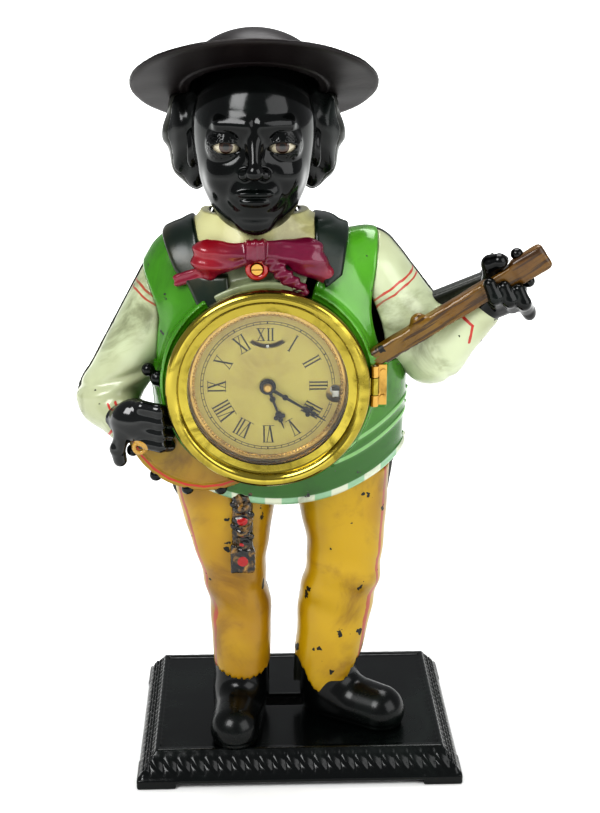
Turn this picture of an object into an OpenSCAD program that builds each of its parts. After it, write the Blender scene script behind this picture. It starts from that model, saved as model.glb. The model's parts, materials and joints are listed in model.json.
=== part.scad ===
// Figural shelf clock: cast-iron banjo player with a clock in the belly and rocking eyes.
// Millimetres, +Z up, the figure faces -Y. Depths are measured forward from the parting plane at y = 0.

// Which sub-part to draw, or all of them

/* [Plinth] */
// Plinth length across the front, mm
plinth_w = 182; // [150:1:210]
// Plinth depth, mm
plinth_d = 132; // [110:1:150]
// Height of the border's ridge, mm
plinth_h = 20; // [15:0.5:30]
// Width of the sloping border, mm
border_w = 13.5; // [8:0.5:20]
// Height of the corner feet below the sides, mm
foot_h = 2.4; // [1:0.1:5]
// Side of each corner foot, mm
foot_w = 22; // [12:1:30]
// Plinth wall and panel thickness, mm
plinth_t = 3.6; // [2.5:0.1:6]
// Half-round leaves along the front border
leaf_n = 22; // [8:1:30]
// Slanted ribs along each side border
rib_n = 20; // [8:1:30]

/* [Case] */
// Wall of the two body castings, mm
wall = 3.2; // [2.5:0.1:5]
// Dial centre across from the plinth's centre, mm
dial_x = -16.2; // [-25:0.1:-5]
// Dial centre above the ground, mm
dial_z = 227; // [215:0.5:240]
// Depth of the dial's seat, mm
seat_d = 39.2; // [35:0.1:45]
// Radius of the opening behind the dial, mm
seat_r = 41.5; // [38:0.5:46]
// Outer radius of the dial's seat, mm
drum_r = 55; // [50:0.5:60]

/* [Hat] */
// Brim radius, mm
brim_r = 64; // [50:1:75]
// Backward tilt, degrees
hat_tilt = 26; // [10:1:35]
// Height of the brim's centre, mm
hat_z = 376; // [360:1:390]
// Radius of the low crown, mm
crown_r = 37; // [30:0.5:45]
// Height of the crown above the brim's underside, mm
crown_h = 30; // [20:0.5:40]

/* [Bezel] */
// Outer radius, mm
bezel_r = 53.3; // [50:0.1:56]
// Clear radius inside, mm
bezel_in = 41.8; // [40:0.1:44]
// Glass thickness, mm
glass_t = 1.5; // [1:0.1:2.5]
// Hinge axis across from the plinth's centre, mm
hinge_x = 39.6; // [39:0.1:44]

/* [Dial and hands] */
// Dial disc radius, mm
dial_r = 46; // [43:0.5:50]
// Dial thickness, mm
dial_t = 0.8; // [0.5:0.1:1.5]
// Hour hand length, mm
hour_len = 24.7; // [18:0.1:28]
// Minute hand length, mm
minute_len = 35.6; // [28:0.1:37]
// Hour hand, degrees clockwise from twelve
hour_deg = 160; // [0:1:360]
// Minute hand, degrees clockwise from twelve
minute_deg = 121.7; // [0:0.1:360]
// Radius of the regulator's slot about the balance axis, mm
slot_r = 14.3; // [12:0.1:18]

/* [Movement] */
// Module of the great wheel, mm
great_m = 0.804; // [0.7:0.001:0.9]
// Module of the centre and third wheels, mm
train_m = 0.4; // [0.3:0.01:0.45]
// Module of the fourth wheel, mm
fourth_m = 0.32; // [0.25:0.01:0.35]
// Balance rim radius, mm
balance_r = 12; // [9:0.5:13]
// Main plate radius, mm
plate_r = 40.5; // [38:0.5:41]
// Coils of the mainspring
spring_coils = 8; // [4:1:12]

/* [Eyes] */
// Radius of each eye, mm
eye_r = 8.4; // [6:0.1:9]
// Distance between the eyes, mm
eye_gap = 28; // [24:0.5:32]
// Height of the eyes, mm
eye_z = 352; // [345:0.5:358]
// Depth of the eye axle, mm
eye_d = 34; // [30:0.5:36]

/* [Hidden] */
// Plinth centre from the row origin, so the origin sits under the middle of the whole clock
base_x = -5.94;
head_x = -22;
stud_x = -21.2;
stud_z = 289;
hw = plinth_w / 2;
hd = plinth_d / 2;
in_w = hw - border_w;
in_d = hd - border_w;
floor_z = plinth_h - 1.4;
// Arbors from the dial centre: across, up
win_p = [35.5, -4.5];
third_p = [-14.18, -2.5];
fourth_p = [-22.92, 7.92];
escape_p = [-23.92, 19.4];
lever_p = [-15.72, 25.13];
balance_p = [0, 36.1];
motion_p = [-9.83, -6.883];
pillar_p = [[-36, 8], [-20, -30], [12, -35], [22, 31]];
ear_p = [[32.5, 32.5], [-32.5, 32.5], [-32.5, -32.5], [32.5, -32.5]];
case_p = [[-58, 184], [34, 182], [-48, 288]];
screw_p = [[-38, -6], [-26, -6], [12, -6], [26, -6]];
// Depths of the movement's layers
back_d = 6;
plate_t = 1.5;
front_d = 31.5;
pad_y = 22;
great_d = 11;
centre_d = 28;
third_d = 23;
fourth_d = 14;
lever_d = 18;
link_x = dial_x - 5.9;
link_d = 21;
hinge_d = 42;
eye_arm = eye_d - link_d;

// ---------- helpers ----------

// Everything is placed from the plinth's centre.
module on_base() translate([base_x, 0, 0]) children();

// Draws a flat shape in the dial's plane, from depth d forward by h, at p from the dial centre.
module layer(p, d, h) {
  on_base() translate([dial_x + p[0], -d, dial_z + p[1]]) rotate([90, 0, 0]) linear_extrude(h) children();
}

module disc(p, d, h, r) layer(p, d, h) circle(r, $fn = 64);

module arbor(p, d, h, r) {
  on_base() translate([dial_x + p[0], -d, dial_z + p[1]]) rotate([90, 0, 0]) cylinder(h = h, r = r, $fn = 48);
}

module egg(p, r, g = 0, n = 24) translate(p) scale([r[0] - g, r[1] - g, r[2] - g]) sphere(1, $fn = n);

// Slim-toothed wheel with a tooth on angle zero.
module wheel2d(n, m) {
  r = n * m / 2;
  k = 180 * m / (2 * r);
  polygon([for (i = [0:n - 1]) for (q =
      [[-1.3, -0.33], [0, -0.25], [0.9, -0.09], [0.9, 0.09], [0, 0.25], [1.3, 0.33]])
    let (s = q[0] == 1.3 ? -1.3 : q[0], a = 360 * i / n + 2 * q[1] * k)
    [(r + s * m) * cos(a), (r + s * m) * sin(a)]]);
}

// Lantern pinion with a pin on angle zero, its discs outside the pins' length.
module lantern(p, d, len, n, m, pin_r, turn, bore) {
  r = n * m / 2;
  for (z = [d - 0.9, d + len]) layer(p, z, 0.9) difference() {
    circle(r + pin_r + m * 0.6, $fn = 48);
    circle(bore, $fn = 32);
  }
  for (i = [0:n - 1]) {
    a = turn + 360 * i / n;
    arbor([p[0] + r * cos(a), p[1] + r * sin(a)], d, len, pin_r);
  }
}

// Half of an involute tooth's angle at radius x, in degrees.
function inv_deg(x, rb) = let (c = acos(min(1, rb / x))) tan(c) * 180 / PI - c;
function half_deg(x, n, m, bl) = let (r = n * m / 2, rb = r * cos(20))
  (PI * m / 2 - bl) / 2 / r * 180 / PI + inv_deg(r, rb) - (x < rb ? 0 : inv_deg(x, rb));

module involute2d(n, m) {
  r = n * m / 2;
  ra = r + 0.8 * m;
  rd = r - 1.15 * m;
  r1 = max(r * cos(20), rd + 0.001);
  rr = [rd, r1, (r1 + ra) / 2, ra];
  polygon([for (i = [0:n - 1]) for (j = [0:7])
    let (x = j < 4 ? rr[j] : rr[7 - j], s = j < 4 ? -1 : 1, a = 360 * i / n + s * half_deg(x, n, m, 0.16 * m))
    [x * cos(a), x * sin(a)]]);
}

// Windows between the arms of a wheel.
module crossings(n, r0, r1, w, turn = 0) {
  for (i = [0:n - 1]) rotate(turn + 360 * i / n) difference() {
    intersection() {
      circle(r1, $fn = 64);
      polygon([[0, 0], [2 * r1 * cos(180 / n), 2 * r1 * sin(180 / n)],
          [2 * r1 * cos(180 / n), -2 * r1 * sin(180 / n)]]);
    }
    circle(r0, $fn = 48);
    rotate(180 / n) translate([0, -w / 2]) square([2 * r1, w]);
    rotate(-180 / n) translate([0, -w / 2]) square([2 * r1, w]);
  }
}

module spiral2d(r0, r1, turns, t, a0) {
  n = turns * 24;
  polygon(concat(
    [for (i = [0:n]) let (a = a0 + 15 * i, r = r0 + (r1 - r0) * i / n + t / 2) [r * cos(a), r * sin(a)]],
    [for (i = [n:-1:0]) let (a = a0 + 15 * i, r = r0 + (r1 - r0) * i / n - t / 2) [r * cos(a), r * sin(a)]]));
}

module ring2d(ro, ri, n = 96) difference() {
  circle(ro, $fn = n);
  circle(ri, $fn = n);
}

// ---------- plinth ----------

module outer_profile(half, inner) polygon([[-half, 0], [half, 0], [half, 5.2], [half - 1.6, 7.4],
  [inner + 3.4, plinth_h - 1], [inner + 1.8, plinth_h], [-inner - 1.8, plinth_h],
  [-inner - 3.4, plinth_h - 1], [-half + 1.6, 7.4], [-half, 5.2]]);

module plinth_outer() intersection() {
  translate([0, hd, 0]) rotate([90, 0, 0]) linear_extrude(plinth_d) outer_profile(hw, in_w);
  translate([-hw, 0, 0]) rotate([90, 0, 90]) linear_extrude(plinth_w) outer_profile(hd, in_d);
}

module plinth() color([0.06, 0.07, 0.06]) on_base() difference() {
  union() {
    plinth_outer();
    for (i = [0:leaf_n - 1]) translate([-hw + 12 + i * (plinth_w - 24) / (leaf_n - 1), -hd + 1.9, 6])
      rotate([-41, 0, 0]) cylinder(h = 13.6, r = 2.1, $fn = 24);
    for (s = [-1, 1]) for (i = [0:rib_n - 1])
        translate([s * (hw - 1.6), -hd + 13 + i * (plinth_d - 26) / (rib_n - 1), 6.4])
      rotate([0, -s * 42, 0]) rotate([s * 16, 0, 0]) cylinder(h = 13, r = 1.3, $fn = 20);
  }
  translate([-in_w, -in_d, floor_z]) cube([2 * in_w, 2 * in_d, 10]);
  translate([-in_w + 1, -in_d + 1, -1]) cube([2 * in_w - 2, 2 * in_d - 2, floor_z - plinth_t + 1]);
  translate([-hw + plinth_t, -hd + plinth_t, -1]) cube([2 * (hw - plinth_t), 2 * (hd - plinth_t), 6]);
  translate([-hw + foot_w, -hd - 5, -1]) cube([plinth_w - 2 * foot_w, plinth_d + 10, foot_h + 1]);
  translate([-hw - 5, -hd + foot_w, -1]) cube([plinth_w + 10, plinth_d - 2 * foot_w, foot_h + 1]);
  for (p = screw_p) translate([p[0], p[1], 0]) cylinder(h = 30, r = 2.1, $fn = 40);
}

module plinth_screws() color([0.55, 0.55, 0.55]) on_base() for (p = screw_p)
    translate([p[0], p[1], floor_z - plinth_t]) {
  translate([0, 0, -2.6]) difference() {
    cylinder(h = 2.6, r = 4, $fn = 40);
    translate([-5, -0.5, -1]) cube([10, 1, 2]);
  }
  cylinder(h = 14, r = 2, $fn = 40);
}

// ---------- figure ----------

module torso(g) {
  hull() {
    egg([-10, -6, 178], [62, 30, 22], g, 26);
    egg([-10.5, -8, 232], [66.5, 34, 42], g, 26);
    egg([-14, -3, 281], [55, 25, 20], g, 26);
  }
}

module head(g) {
  hull() {
    egg([head_x, -10, 354], [32, 36, 43], g, 26);
    egg([head_x, -19, 327], [24.5, 23, 21], g, 22);
  }
}

module leg(g, top, mid, low) hull() {
  egg(top[0], top[1], g, 18);
  egg(mid[0], mid[1], g, 18);
  egg(low[0], low[1], g, 18);
}

module left_leg(g) leg(g, [[-38, -4, 160], [29, 25, 20]], [[-35, -6, 98], [18.5, 21, 10]],
    [[-32.5, -8, 46], [17, 19, 8]]);
module right_leg(g) leg(g, [[24, -4, 163], [27, 25, 20]], [[24.5, -5, 110], [22.5, 22, 10]],
    [[19.5, -7, 47], [18.2, 20, 9]]);

module outer_figure() {
  torso(0);
  head(0);
  left_leg(0);
  right_leg(0);
  // neck and collar
  hull() {
    egg([-20, -6, 304], [28, 28, 14], 0, 24);
    egg([head_x, -8, 318], [24, 25, 12], 0, 24);
  }
  // collar points and lapels
  for (s = [-1, 1]) hull() {
    egg([head_x + s * 20, -22, 309], [12, 10, 8], 0, 14);
    egg([-18 + s * 40, -11, 309], [3, 10, 7], 0, 14);
  }
  for (s = [-1, 1]) hull() {
    egg([-19 + s * 36, -18, 300], [9, 12, 8], 0, 14);
    egg([-19 + s * 44, -22, 268], [8, 12, 9], 0, 14);
  }
  // nose, lips and chin
  hull() {
    egg([head_x, -43, 352], [3, 4, 8], 0, 14);
    egg([head_x, -47.5, 338.5], [6.4, 5.6, 4.6], 0, 14);
  }
  egg([head_x, -41, 327], [10.5, 4.6, 3], 0, 14);
  egg([head_x, -39, 313], [9, 5, 6], 0, 14);
  // eyelids and brow
  for (s = [-1, 1]) egg([head_x + s * eye_gap / 2, -eye_d - 0.6, eye_z], [11.2, 10.4, 8.6], 0, 18);
  // hair at the sides and back
  for (s = [-1, 1]) hull() {
    egg([head_x + s * 30, 6, 352], [17, 20, 26], 0, 18);
    egg([head_x + s * 28, 8, 334], [9, 12, 8], 0, 14);
  }
  // bow tie
  egg([head_x, -38, 300], [6, 5, 6.5], 0, 14);
  hull() {
    egg([-28, -36, 299], [3, 4, 4], 0, 14);
    egg([-46, -31, 294], [7.5, 5, 11], 0, 14);
  }
  hull() {
    egg([-15, -36, 299], [3, 4, 4], 0, 14);
    egg([11, -32, 294], [8, 5, 9], 0, 14);
  }
  hull() {
    egg([-26, -36, 297], [3, 3, 3], 0, 12);
    egg([-60, -27, 283], [5, 4, 4], 0, 12);
  }
  hull() {
    egg([-17, -36, 297], [3, 3, 3], 0, 12);
    egg([13, -30, 279], [6, 4, 5], 0, 12);
  }
  // sleeve and hand over the drum
  hull() {
    egg([-58, -4, 284], [19, 20, 19], 0, 18);
    egg([-102, -8, 217], [15.5, 17, 14], 0, 18);
  }
  hull() {
    egg([-104, -10, 212], [15.6, 17, 13], 0, 18);
    egg([-94, -26, 203], [10, 12, 11.5], 0, 18);
  }
  hull() {
    egg([-92, -33, 206], [6, 6, 11], 0, 14);
    egg([-74, -36, 203], [6, 5, 9], 0, 14);
  }
  // sleeve and hand on the neck of the instrument
  hull() {
    egg([38, -4, 284], [18, 20, 19], 0, 18);
    egg([68, -10, 241], [18, 18, 22], 0, 18);
  }
  hull() {
    egg([71, -12, 239], [17, 17, 21], 0, 18);
    egg([94, -25, 261], [10.5, 12, 11], 0, 18);
  }
  hull() {
    egg([99, -30, 270], [7.5, 8, 9], 0, 14);
    egg([112, -36, 281], [8.5, 8, 9.5], 0, 14);
  }
  // banjo: drum, neck and headstock
  translate([-52, -30.5, 210]) rotate([90, 0, 0]) cylinder(h = 8, r = 43, $fn = 40);
  translate([38, -30, 239]) rotate([0, 90 - 33, 0]) translate([-4.8, -9, -30]) cube([9.6, 8, 124]);
  translate([113, -35.5, 288]) rotate([0, 90 - 33, 0]) translate([-6.2, -4, -2]) cube([12.4, 8, 20]);
  // raised drum that carries the dial
  translate([dial_x, -6, dial_z]) rotate([90, 0, 0]) cylinder(h = seat_d - 6, r = drum_r, $fn = 48);
  translate([30, -seat_d, 214]) cube([16.5, 20, 29]);
  // shoes
  hull() {
    egg([-33, -2, floor_z + 9], [15, 17, 9], 0, 18);
    egg([-35, -40, floor_z + 7], [13.5, 16, 7], 0, 18);
    translate([-46, -46, floor_z]) cube([24, 56, 2]);
  }
  egg([-33, -9, floor_z + 20], [14.5, 17, 14], 0, 18);
  hull() {
    egg([18, -2, floor_z + 10], [17, 18, 10], 0, 18);
    egg([46, -26, floor_z + 8], [14.5, 13, 8], 0, 18);
    translate([4, -16, floor_z]) cube([28, 26, 2]);
    translate([34, -36, floor_z]) cube([22, 20, 2]);
  }
  egg([19, -9, floor_z + 20], [15.5, 18, 14], 0, 18);
}

module inner_figure() {
  torso(wall);
  head(wall + 2);
  left_leg(wall + 0.5);
  right_leg(wall + 0.5);
  hull() {
    egg([head_x, -14, 296], [13, 15, 8], 0, 18);
    egg([head_x, -14, 330], [12, 14, 8], 0, 18);
  }
  translate([dial_x, 1, dial_z]) rotate([90, 0, 0]) cylinder(h = seat_d - 3, r = drum_r - wall, $fn = 48);
}

// The solid kept inside the walls: screw bosses and the eye bracket's block.
module bosses() {
  for (p = case_p) translate([p[0], 20, p[1]]) rotate([90, 0, 0]) cylinder(h = 60, r = 5, $fn = 20);
  for (p = ear_p) translate([dial_x + p[0], -front_d - plate_t, dial_z + p[1]]) rotate([90, 0, 0])
      cylinder(h = 5, r = 4.4, $fn = 18);
  translate([head_x, -31, 369]) cylinder(h = 30, r = 7, $fn = 28);
  for (p = screw_p) translate([p[0], p[1], floor_z]) cylinder(h = 16, r = 5, $fn = 24);
}

// Space taken by the hat, less the round of the skull that fills its crown.
module hat_space() {
  translate([head_x + 0.5, -5, hat_z]) rotate([-hat_tilt, 0, 0]) difference() {
    translate([-90, -90, -0.1]) cube([180, 180, 80]);
    scale([crown_r - 4.2, crown_r - 4.2, crown_h - 4]) sphere(1, $fn = 28);
  }
}

module figure_shell() difference() {
  union() {
    difference() {
      outer_figure();
      inner_figure();
    }
    intersection() {
      outer_figure();
      bosses();
    }
    // pads under the case screws' heads
    for (p = case_p) translate([p[0], pad_y, p[1]]) rotate([90, 0, 0]) cylinder(h = pad_y, r = 6.5, $fn = 24);
  }
  // eye sockets and openings
  for (s = [-1, 1]) translate([head_x + s * eye_gap / 2, -eye_d, eye_z]) {
    sphere(eye_r + 0.6, $fn = 20);
    scale([7.8, 1, 3.6]) rotate([90, 0, 0]) cylinder(h = 30, r = 1, $fn = 24);
  }
  translate([head_x - 12, -eye_d - 2.6, eye_z - 6]) cube([24, 14, 23]);
  // dial opening and movement
  translate([dial_x, 1, dial_z]) rotate([90, 0, 0]) cylinder(h = 60, r = seat_r, $fn = 48);
  translate([dial_x - 90, -80, dial_z - 90]) intersection() {
    cube([180, 80 - seat_d, 180]);
    translate([90, 60, 90]) rotate([90, 0, 0]) cylinder(h = 60, r = bezel_r + 1.2, $fn = 48);
  }
  for (p = case_p) translate([p[0], 40, p[1]]) rotate([90, 0, 0]) cylinder(h = 60, r = 2.1, $fn = 16);
  for (p = ear_p) translate([dial_x + p[0], -front_d, dial_z + p[1]]) rotate([90, 0, 0])
      cylinder(h = 5.5, r = 1.6, $fn = 12);
  for (p = screw_p) translate([p[0], p[1], 0]) cylinder(h = floor_z + 12, r = 2.1, $fn = 20);
  translate([head_x, -28, 360]) cylinder(h = 20, r = 1.6, $fn = 16);
  hat_space();
  translate([head_x + 0.5, -5, hat_z]) rotate([-hat_tilt, 0, 0]) translate([0, -14, 0]) {
    cylinder(h = 60, r = 2, $fn = 16);
    translate([0, 0, -8]) cylinder(h = 22, r = 4.2, $fn = 16);
  }
  // seat of the shirt stud
  translate([stud_x, -35.9, stud_z]) rotate([90, 0, 0]) cylinder(h = 20, r = 6.3, $fn = 24);
  translate([-200, -200, -10]) cube([400, 400, 10 + floor_z]);
}

module front_casting() color([0.36, 0.33, 0.24]) on_base() intersection() {
  figure_shell();
  translate([-200, -100.1, 0]) cube([400, 100, 450]);
}

module back_casting() color([0.10, 0.11, 0.09]) on_base() intersection() {
  figure_shell();
  translate([-200, 0, 0]) cube([400, 100, 450]);
}

module case_screws() color([0.5, 0.48, 0.42]) on_base() for (p = case_p) translate([p[0], 0, p[1]])
    rotate([90, 0, 0]) {
  translate([0, 0, -pad_y - 0.5]) cylinder(h = pad_y + 14.5, r = 1.95, $fn = 40);
  translate([0, 0, -pad_y - 2.8]) difference() {
    cylinder(h = 2.8, r = 4.6, $fn = 40);
    translate([-6, -0.5, -1]) cube([12, 1, 2]);
  }
}

// ---------- hat ----------

module hat_frame() on_base() translate([head_x + 0.5, -5, hat_z]) rotate([-hat_tilt, 0, 0]) children();

module hat() color([0.09, 0.10, 0.08]) hat_frame() difference() {
  rotate_extrude($fn = 128) polygon(concat(
    [[0, crown_h - 3.4]],
    [for (a = [80:-10:0]) [(crown_r - 3.6) * cos(a), (crown_h - 3.4) * sin(a)]],
    [[brim_r - 3, 0], [brim_r - 1, 0.3], [brim_r, 1.4], [brim_r - 0.6, 2.6], [brim_r - 3, 3],
        [crown_r + 1.2, 2.4]],
    [for (a = [8:10:88]) [crown_r * cos(a), crown_h * sin(a)]],
    [[0, crown_h]]));
  translate([0, -14, 12]) cylinder(h = 14.4, r = 2, $fn = 32);
}

module hat_screw() color([0.5, 0.48, 0.42]) hat_frame() translate([0, -14, 0]) {
  translate([0, 0, 13.5]) cylinder(h = 12.5, r = 1.9, $fn = 40);
  translate([0, 0, 11.4]) difference() {
    cylinder(h = 2.6, r = 3.6, $fn = 40);
    translate([-5, -0.5, -1]) cube([10, 1, 2]);
  }
}

// ---------- shirt stud ----------

module stud_ring() color([0.55, 0.06, 0.05]) on_base() translate([stud_x, -34, stud_z]) rotate([90, 0, 0])
  rotate_extrude($fn = 64) translate([4.6, 3.4]) circle(1.5, $fn = 24);

module stud_screw() color([0.72, 0.55, 0.25]) on_base() translate([stud_x, -34, stud_z]) rotate([90, 0, 0]) {
  difference() {
    translate([0, 0, 2]) cylinder(h = 3, r = 2.9, $fn = 40);
    translate([-4, -0.4, 4]) cube([8, 0.8, 2]);
  }
}

// ---------- dial ----------

function slot_pt(r, a) = [balance_p[0] + r * sin(a), balance_p[1] - r * cos(a)];

module slot2d(w) polygon(concat([for (a = [-36:6:36]) slot_pt(slot_r - w / 2, a)],
  [for (a = [36:-6:-36]) slot_pt(slot_r + w / 2, a)]));

module dial() color([0.90, 0.85, 0.70]) layer([0, 0], seat_d, dial_t) difference() {
  circle(dial_r, $fn = 128);
  circle(3.2, $fn = 48);
  translate(win_p) circle(5, $fn = 48);
  slot2d(2.4);
}

module stroke(x0, y0, x1, y1, w) {
  l = sqrt((x1 - x0) * (x1 - x0) + (y1 - y0) * (y1 - y0));
  translate([x0, y0]) rotate(atan2(y1 - y0, x1 - x0)) translate([0, -w / 2]) square([l, w]);
}

// Roman numerals as lists of letter marks, set outward from the centre.
numerals = [[2], [1], [1, 1], [1, 1, 1], [1, 1, 1, 1], [5], [5, 1], [5, 1, 1], [5, 1, 1, 1], [1, 2], [2],
    [2, 1]];
function mark_w(k) = k == 1 ? 1.9 : k == 5 ? 4.2 : 4.6;
function run(v, n) = n <= 0 ? 0 : mark_w(v[n - 1]) + run(v, n - 1);

module mark(k, h) {
  if (k == 1) stroke(0, 0, 0, h, 0.8);
  if (k == 5) { stroke(-1.5, h, 0, 0, 0.9); stroke(1.5, h, 0, 0, 0.4); }
  if (k == 2) { stroke(-1.6, h, 1.6, 0, 0.9); stroke(-1.6, 0, 1.6, h, 0.4); }
  w = k == 1 ? 0.8 : 2.3;
  stroke(-w, 0.15, w, 0.15, 0.3);
  stroke(-w, h - 0.15, w, h - 0.15, 0.3);
}

module dial_marks() color([0.08, 0.07, 0.06]) layer([0, 0], seat_d + dial_t, 0.06) difference() {
  marks2d();
  translate(win_p) circle(5.4, $fn = 48);
}

module marks2d() {
  ring2d(35.2, 34.9);
  ring2d(33.9, 33.6);
  for (i = [0:59]) rotate(-6 * i) translate([-0.18, 33.7]) square([i % 5 == 0 ? 0.6 : 0.3, 1.4]);
  for (i = [1:12]) {
    v = i == 12 ? [2] : numerals[i];
    t = run(v, len(v));
    if (i < 12) rotate(-30 * i) for (j = [0:len(v) - 1])
      translate([-t / 2 + run(v, j) + mark_w(v[j]) / 2, 21.8]) mark(v[j], 9.6);
  }
  // twelve, cut short by the regulator's slot
  for (j = [0:2]) translate([[-3.3, 0.6, 2.7][j], 24.6]) mark([2, 1, 1][j], 6.8);
}

module dial_ring() color([0.72, 0.55, 0.25]) on_base() translate([dial_x, -seat_d - dial_t, dial_z])
    rotate([90, 0, 0]) {
  rotate_extrude($fn = 128) polygon([[38.2, 0], [41.4, 0], [41.4, 0.5], [40.6, 1], [39, 1], [38.2, 0.5]]);
}

// ---------- bezel ----------

module bezel() color([0.74, 0.56, 0.26]) {
  on_base() translate([dial_x, -seat_d - 1.1, dial_z]) rotate([90, 0, 0]) rotate_extrude($fn = 144)
      polygon(concat(
    [[bezel_in, 0], [bezel_r - 1.6, 0], [bezel_r - 0.4, 1.2], [bezel_r, 3.2]],
    [for (a = [0:15:180]) [bezel_r - 3.5 + 3.5 * cos(a), 7.2 + 3.5 * sin(a)]],
    [[bezel_in + 3.6, 7.0], [bezel_in + 0.2, 6.4], [bezel_in + 0.2, 6.2], [bezel_in + 2, 6.2],
        [bezel_in + 2, 4.6], [bezel_in, 4.6]]));
  on_base() translate([hinge_x, -hinge_d, dial_z - 4.6]) difference() {
    union() {
      cylinder(h = 9.2, r = 2.2, $fn = 48);
      translate([-5, -0.9, 0]) cube([5, 1.8, 9.2]);
    }
    translate([0, 0, -1]) cylinder(h = 12, r = 0.95, $fn = 48);
  }
}

module bezel_glass() color([0.75, 0.85, 0.82, 0.3]) on_base() translate([dial_x, -seat_d - 5.75, dial_z])
  rotate([90, 0, 0]) cylinder(h = glass_t, r = bezel_in + 1.95, $fn = 128);

module hinge_leaf() color([0.62, 0.47, 0.22]) on_base() difference() {
  union() {
    for (z = [dial_z - 11, dial_z + 5]) translate([hinge_x, -hinge_d, z]) {
      cylinder(h = 6, r = 2.2, $fn = 48);
      cube([2.2, hinge_d - seat_d, 6]);
    }
    translate([hinge_x, -seat_d - 1, dial_z - 11]) cube([6.6, 1, 22]);
  }
  translate([hinge_x, -hinge_d, dial_z - 20]) cylinder(h = 40, r = 0.9, $fn = 48);
  // room for the bezel's knuckle
  translate([hinge_x - 3, -hinge_d - 3, dial_z - 5]) cube([5.6, 10, 10]);
  for (z = [-7, 7]) translate([hinge_x + 4.6, -seat_d + 1, dial_z + z]) rotate([90, 0, 0])
      cylinder(h = 4, r = 1, $fn = 32);
}

module hinge_pin() color([0.5, 0.48, 0.42]) on_base() translate([hinge_x, -hinge_d, dial_z - 11.5])
  cylinder(h = 23, r = 0.9, $fn = 48);

module leaf_screws() color([0.62, 0.47, 0.22]) on_base() for (z = [-7, 7])
  translate([hinge_x + 4.6, -seat_d - 1, dial_z + z]) rotate([90, 0, 0]) {
    cylinder(h = 0.7, r = 1.7, $fn = 32);
    translate([0, 0, -1]) cylinder(h = 1, r = 0.95, $fn = 32);
  }

// ---------- hands ----------

module hand2d(l, hub, bore) difference() {
  union() {
    circle(hub, $fn = 48);
    polygon([[-0.9, 0], [0.9, 0], [0.5, l * 0.62], [-0.5, l * 0.62]]);
    translate([0, l * 0.30]) circle(1.5, $fn = 32);
    translate([0, l * 0.66]) circle(1.7, $fn = 32);
    translate([-1.9, l * 0.72]) circle(1.2, $fn = 32);
    translate([1.9, l * 0.72]) circle(1.2, $fn = 32);
    translate([0, l * 0.79]) circle(1.3, $fn = 32);
    polygon([[-0.7, l * 0.7], [0.7, l * 0.7], [0.15, l], [-0.15, l]]);
  }
  circle(bore, $fn = 48);
}

module hour_hand() color([0.05, 0.05, 0.06]) layer([0, 0], 41, 0.6) rotate(-hour_deg)
    hand2d(hour_len, 4.3, 2.62);
module minute_hand() color([0.05, 0.05, 0.06]) layer([0, 0], 42.3, 0.6) rotate(-minute_deg)
    hand2d(minute_len, 3.4, 1.22);

module hand_nut() color([0.74, 0.56, 0.26]) on_base() translate([dial_x, -42.95, dial_z])
    rotate([90, 0, 0]) difference() {
  rotate_extrude($fn = 48) polygon([[0, 0], [2.4, 0], [2.4, 0.7], [1.7, 1.7], [0, 1.9]]);
  translate([0, 0, -1]) cylinder(h = 2.3, r = 1.22, $fn = 32);
}

// ---------- movement frame ----------

module plate2d() {
  difference() {
    union() {
      circle(plate_r, $fn = 128);
      for (p = ear_p) {
        stroke(0.8 * p[0], 0.8 * p[1], p[0], p[1], 8.4);
        translate(p) circle(4.2, $fn = 32);
      }
    }
    translate([0, -27]) circle(6, $fn = 48);
    translate([-26, -14]) circle(6.5, $fn = 48);
    translate([20, 14]) circle(5, $fn = 48);
  }
}

module pivots2d(c) {
  for (p = [third_p, fourth_p, lever_p]) translate(p) circle(0.65, $fn = 32);
  translate(escape_p) circle(0.5, $fn = 32);
  translate(balance_p) circle(0.45, $fn = 32);
  translate(win_p) circle(2.55, $fn = 48);
  circle(c, $fn = 48);
}

module front_plate() color([0.76, 0.60, 0.30]) {
  layer([0, 0], front_d, plate_t) difference() {
    plate2d();
    pivots2d(1.26);
    for (p = ear_p) translate(p) circle(1.55, $fn = 32);
    for (p = pillar_p) translate(p) circle(1.2, $fn = 32);
  }
  layer(balance_p, front_d + plate_t, 1.6) ring2d(3, 0.45, 48);
}

module back_plate() color([0.76, 0.60, 0.30]) layer([0, 0], back_d, plate_t) difference() {
  intersection() {
    plate2d();
    circle(plate_r, $fn = 128);
  }
  pivots2d(1.26);
  for (p = pillar_p) translate(p) circle(1.2, $fn = 32);
}

module pillars() color([0.72, 0.56, 0.28]) for (p = pillar_p) {
  arbor(p, back_d + plate_t, front_d - back_d - plate_t, 2);
  arbor(p, back_d - 2.4, 4, 1.15);
  arbor(p, front_d - 0.1, 1.5, 1.15);
}

module pillar_nuts() color([0.55, 0.53, 0.48]) for (p = pillar_p) layer(p, back_d - 2, 2) difference() {
  circle(2.8, $fn = 6);
  circle(1.17, $fn = 32);
}

module movement_screws() color([0.5, 0.48, 0.42]) for (p = ear_p) {
  arbor(p, front_d - 1.8, 1.8, 3);
  arbor(p, front_d, 5, 1.5);
}

// ---------- going barrel side ----------

module winding_arbor() color([0.6, 0.58, 0.55]) {
  arbor(win_p, back_d, front_d + plate_t + 0.4 - back_d, 2.5);
  layer(win_p, front_d + plate_t + 0.4, 7) square([3.3, 3.3], center = true);
}

module ratchet_wheel() color([0.5, 0.48, 0.42]) layer(win_p, 14, 1.2) difference() {
  polygon([for (i = [0:23]) for (q = [[9, 0], [7.8, 13.5]])
      [q[0] * cos(15 * i + q[1]), q[0] * sin(15 * i + q[1])]]);
  circle(2.5, $fn = 48);
}

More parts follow.
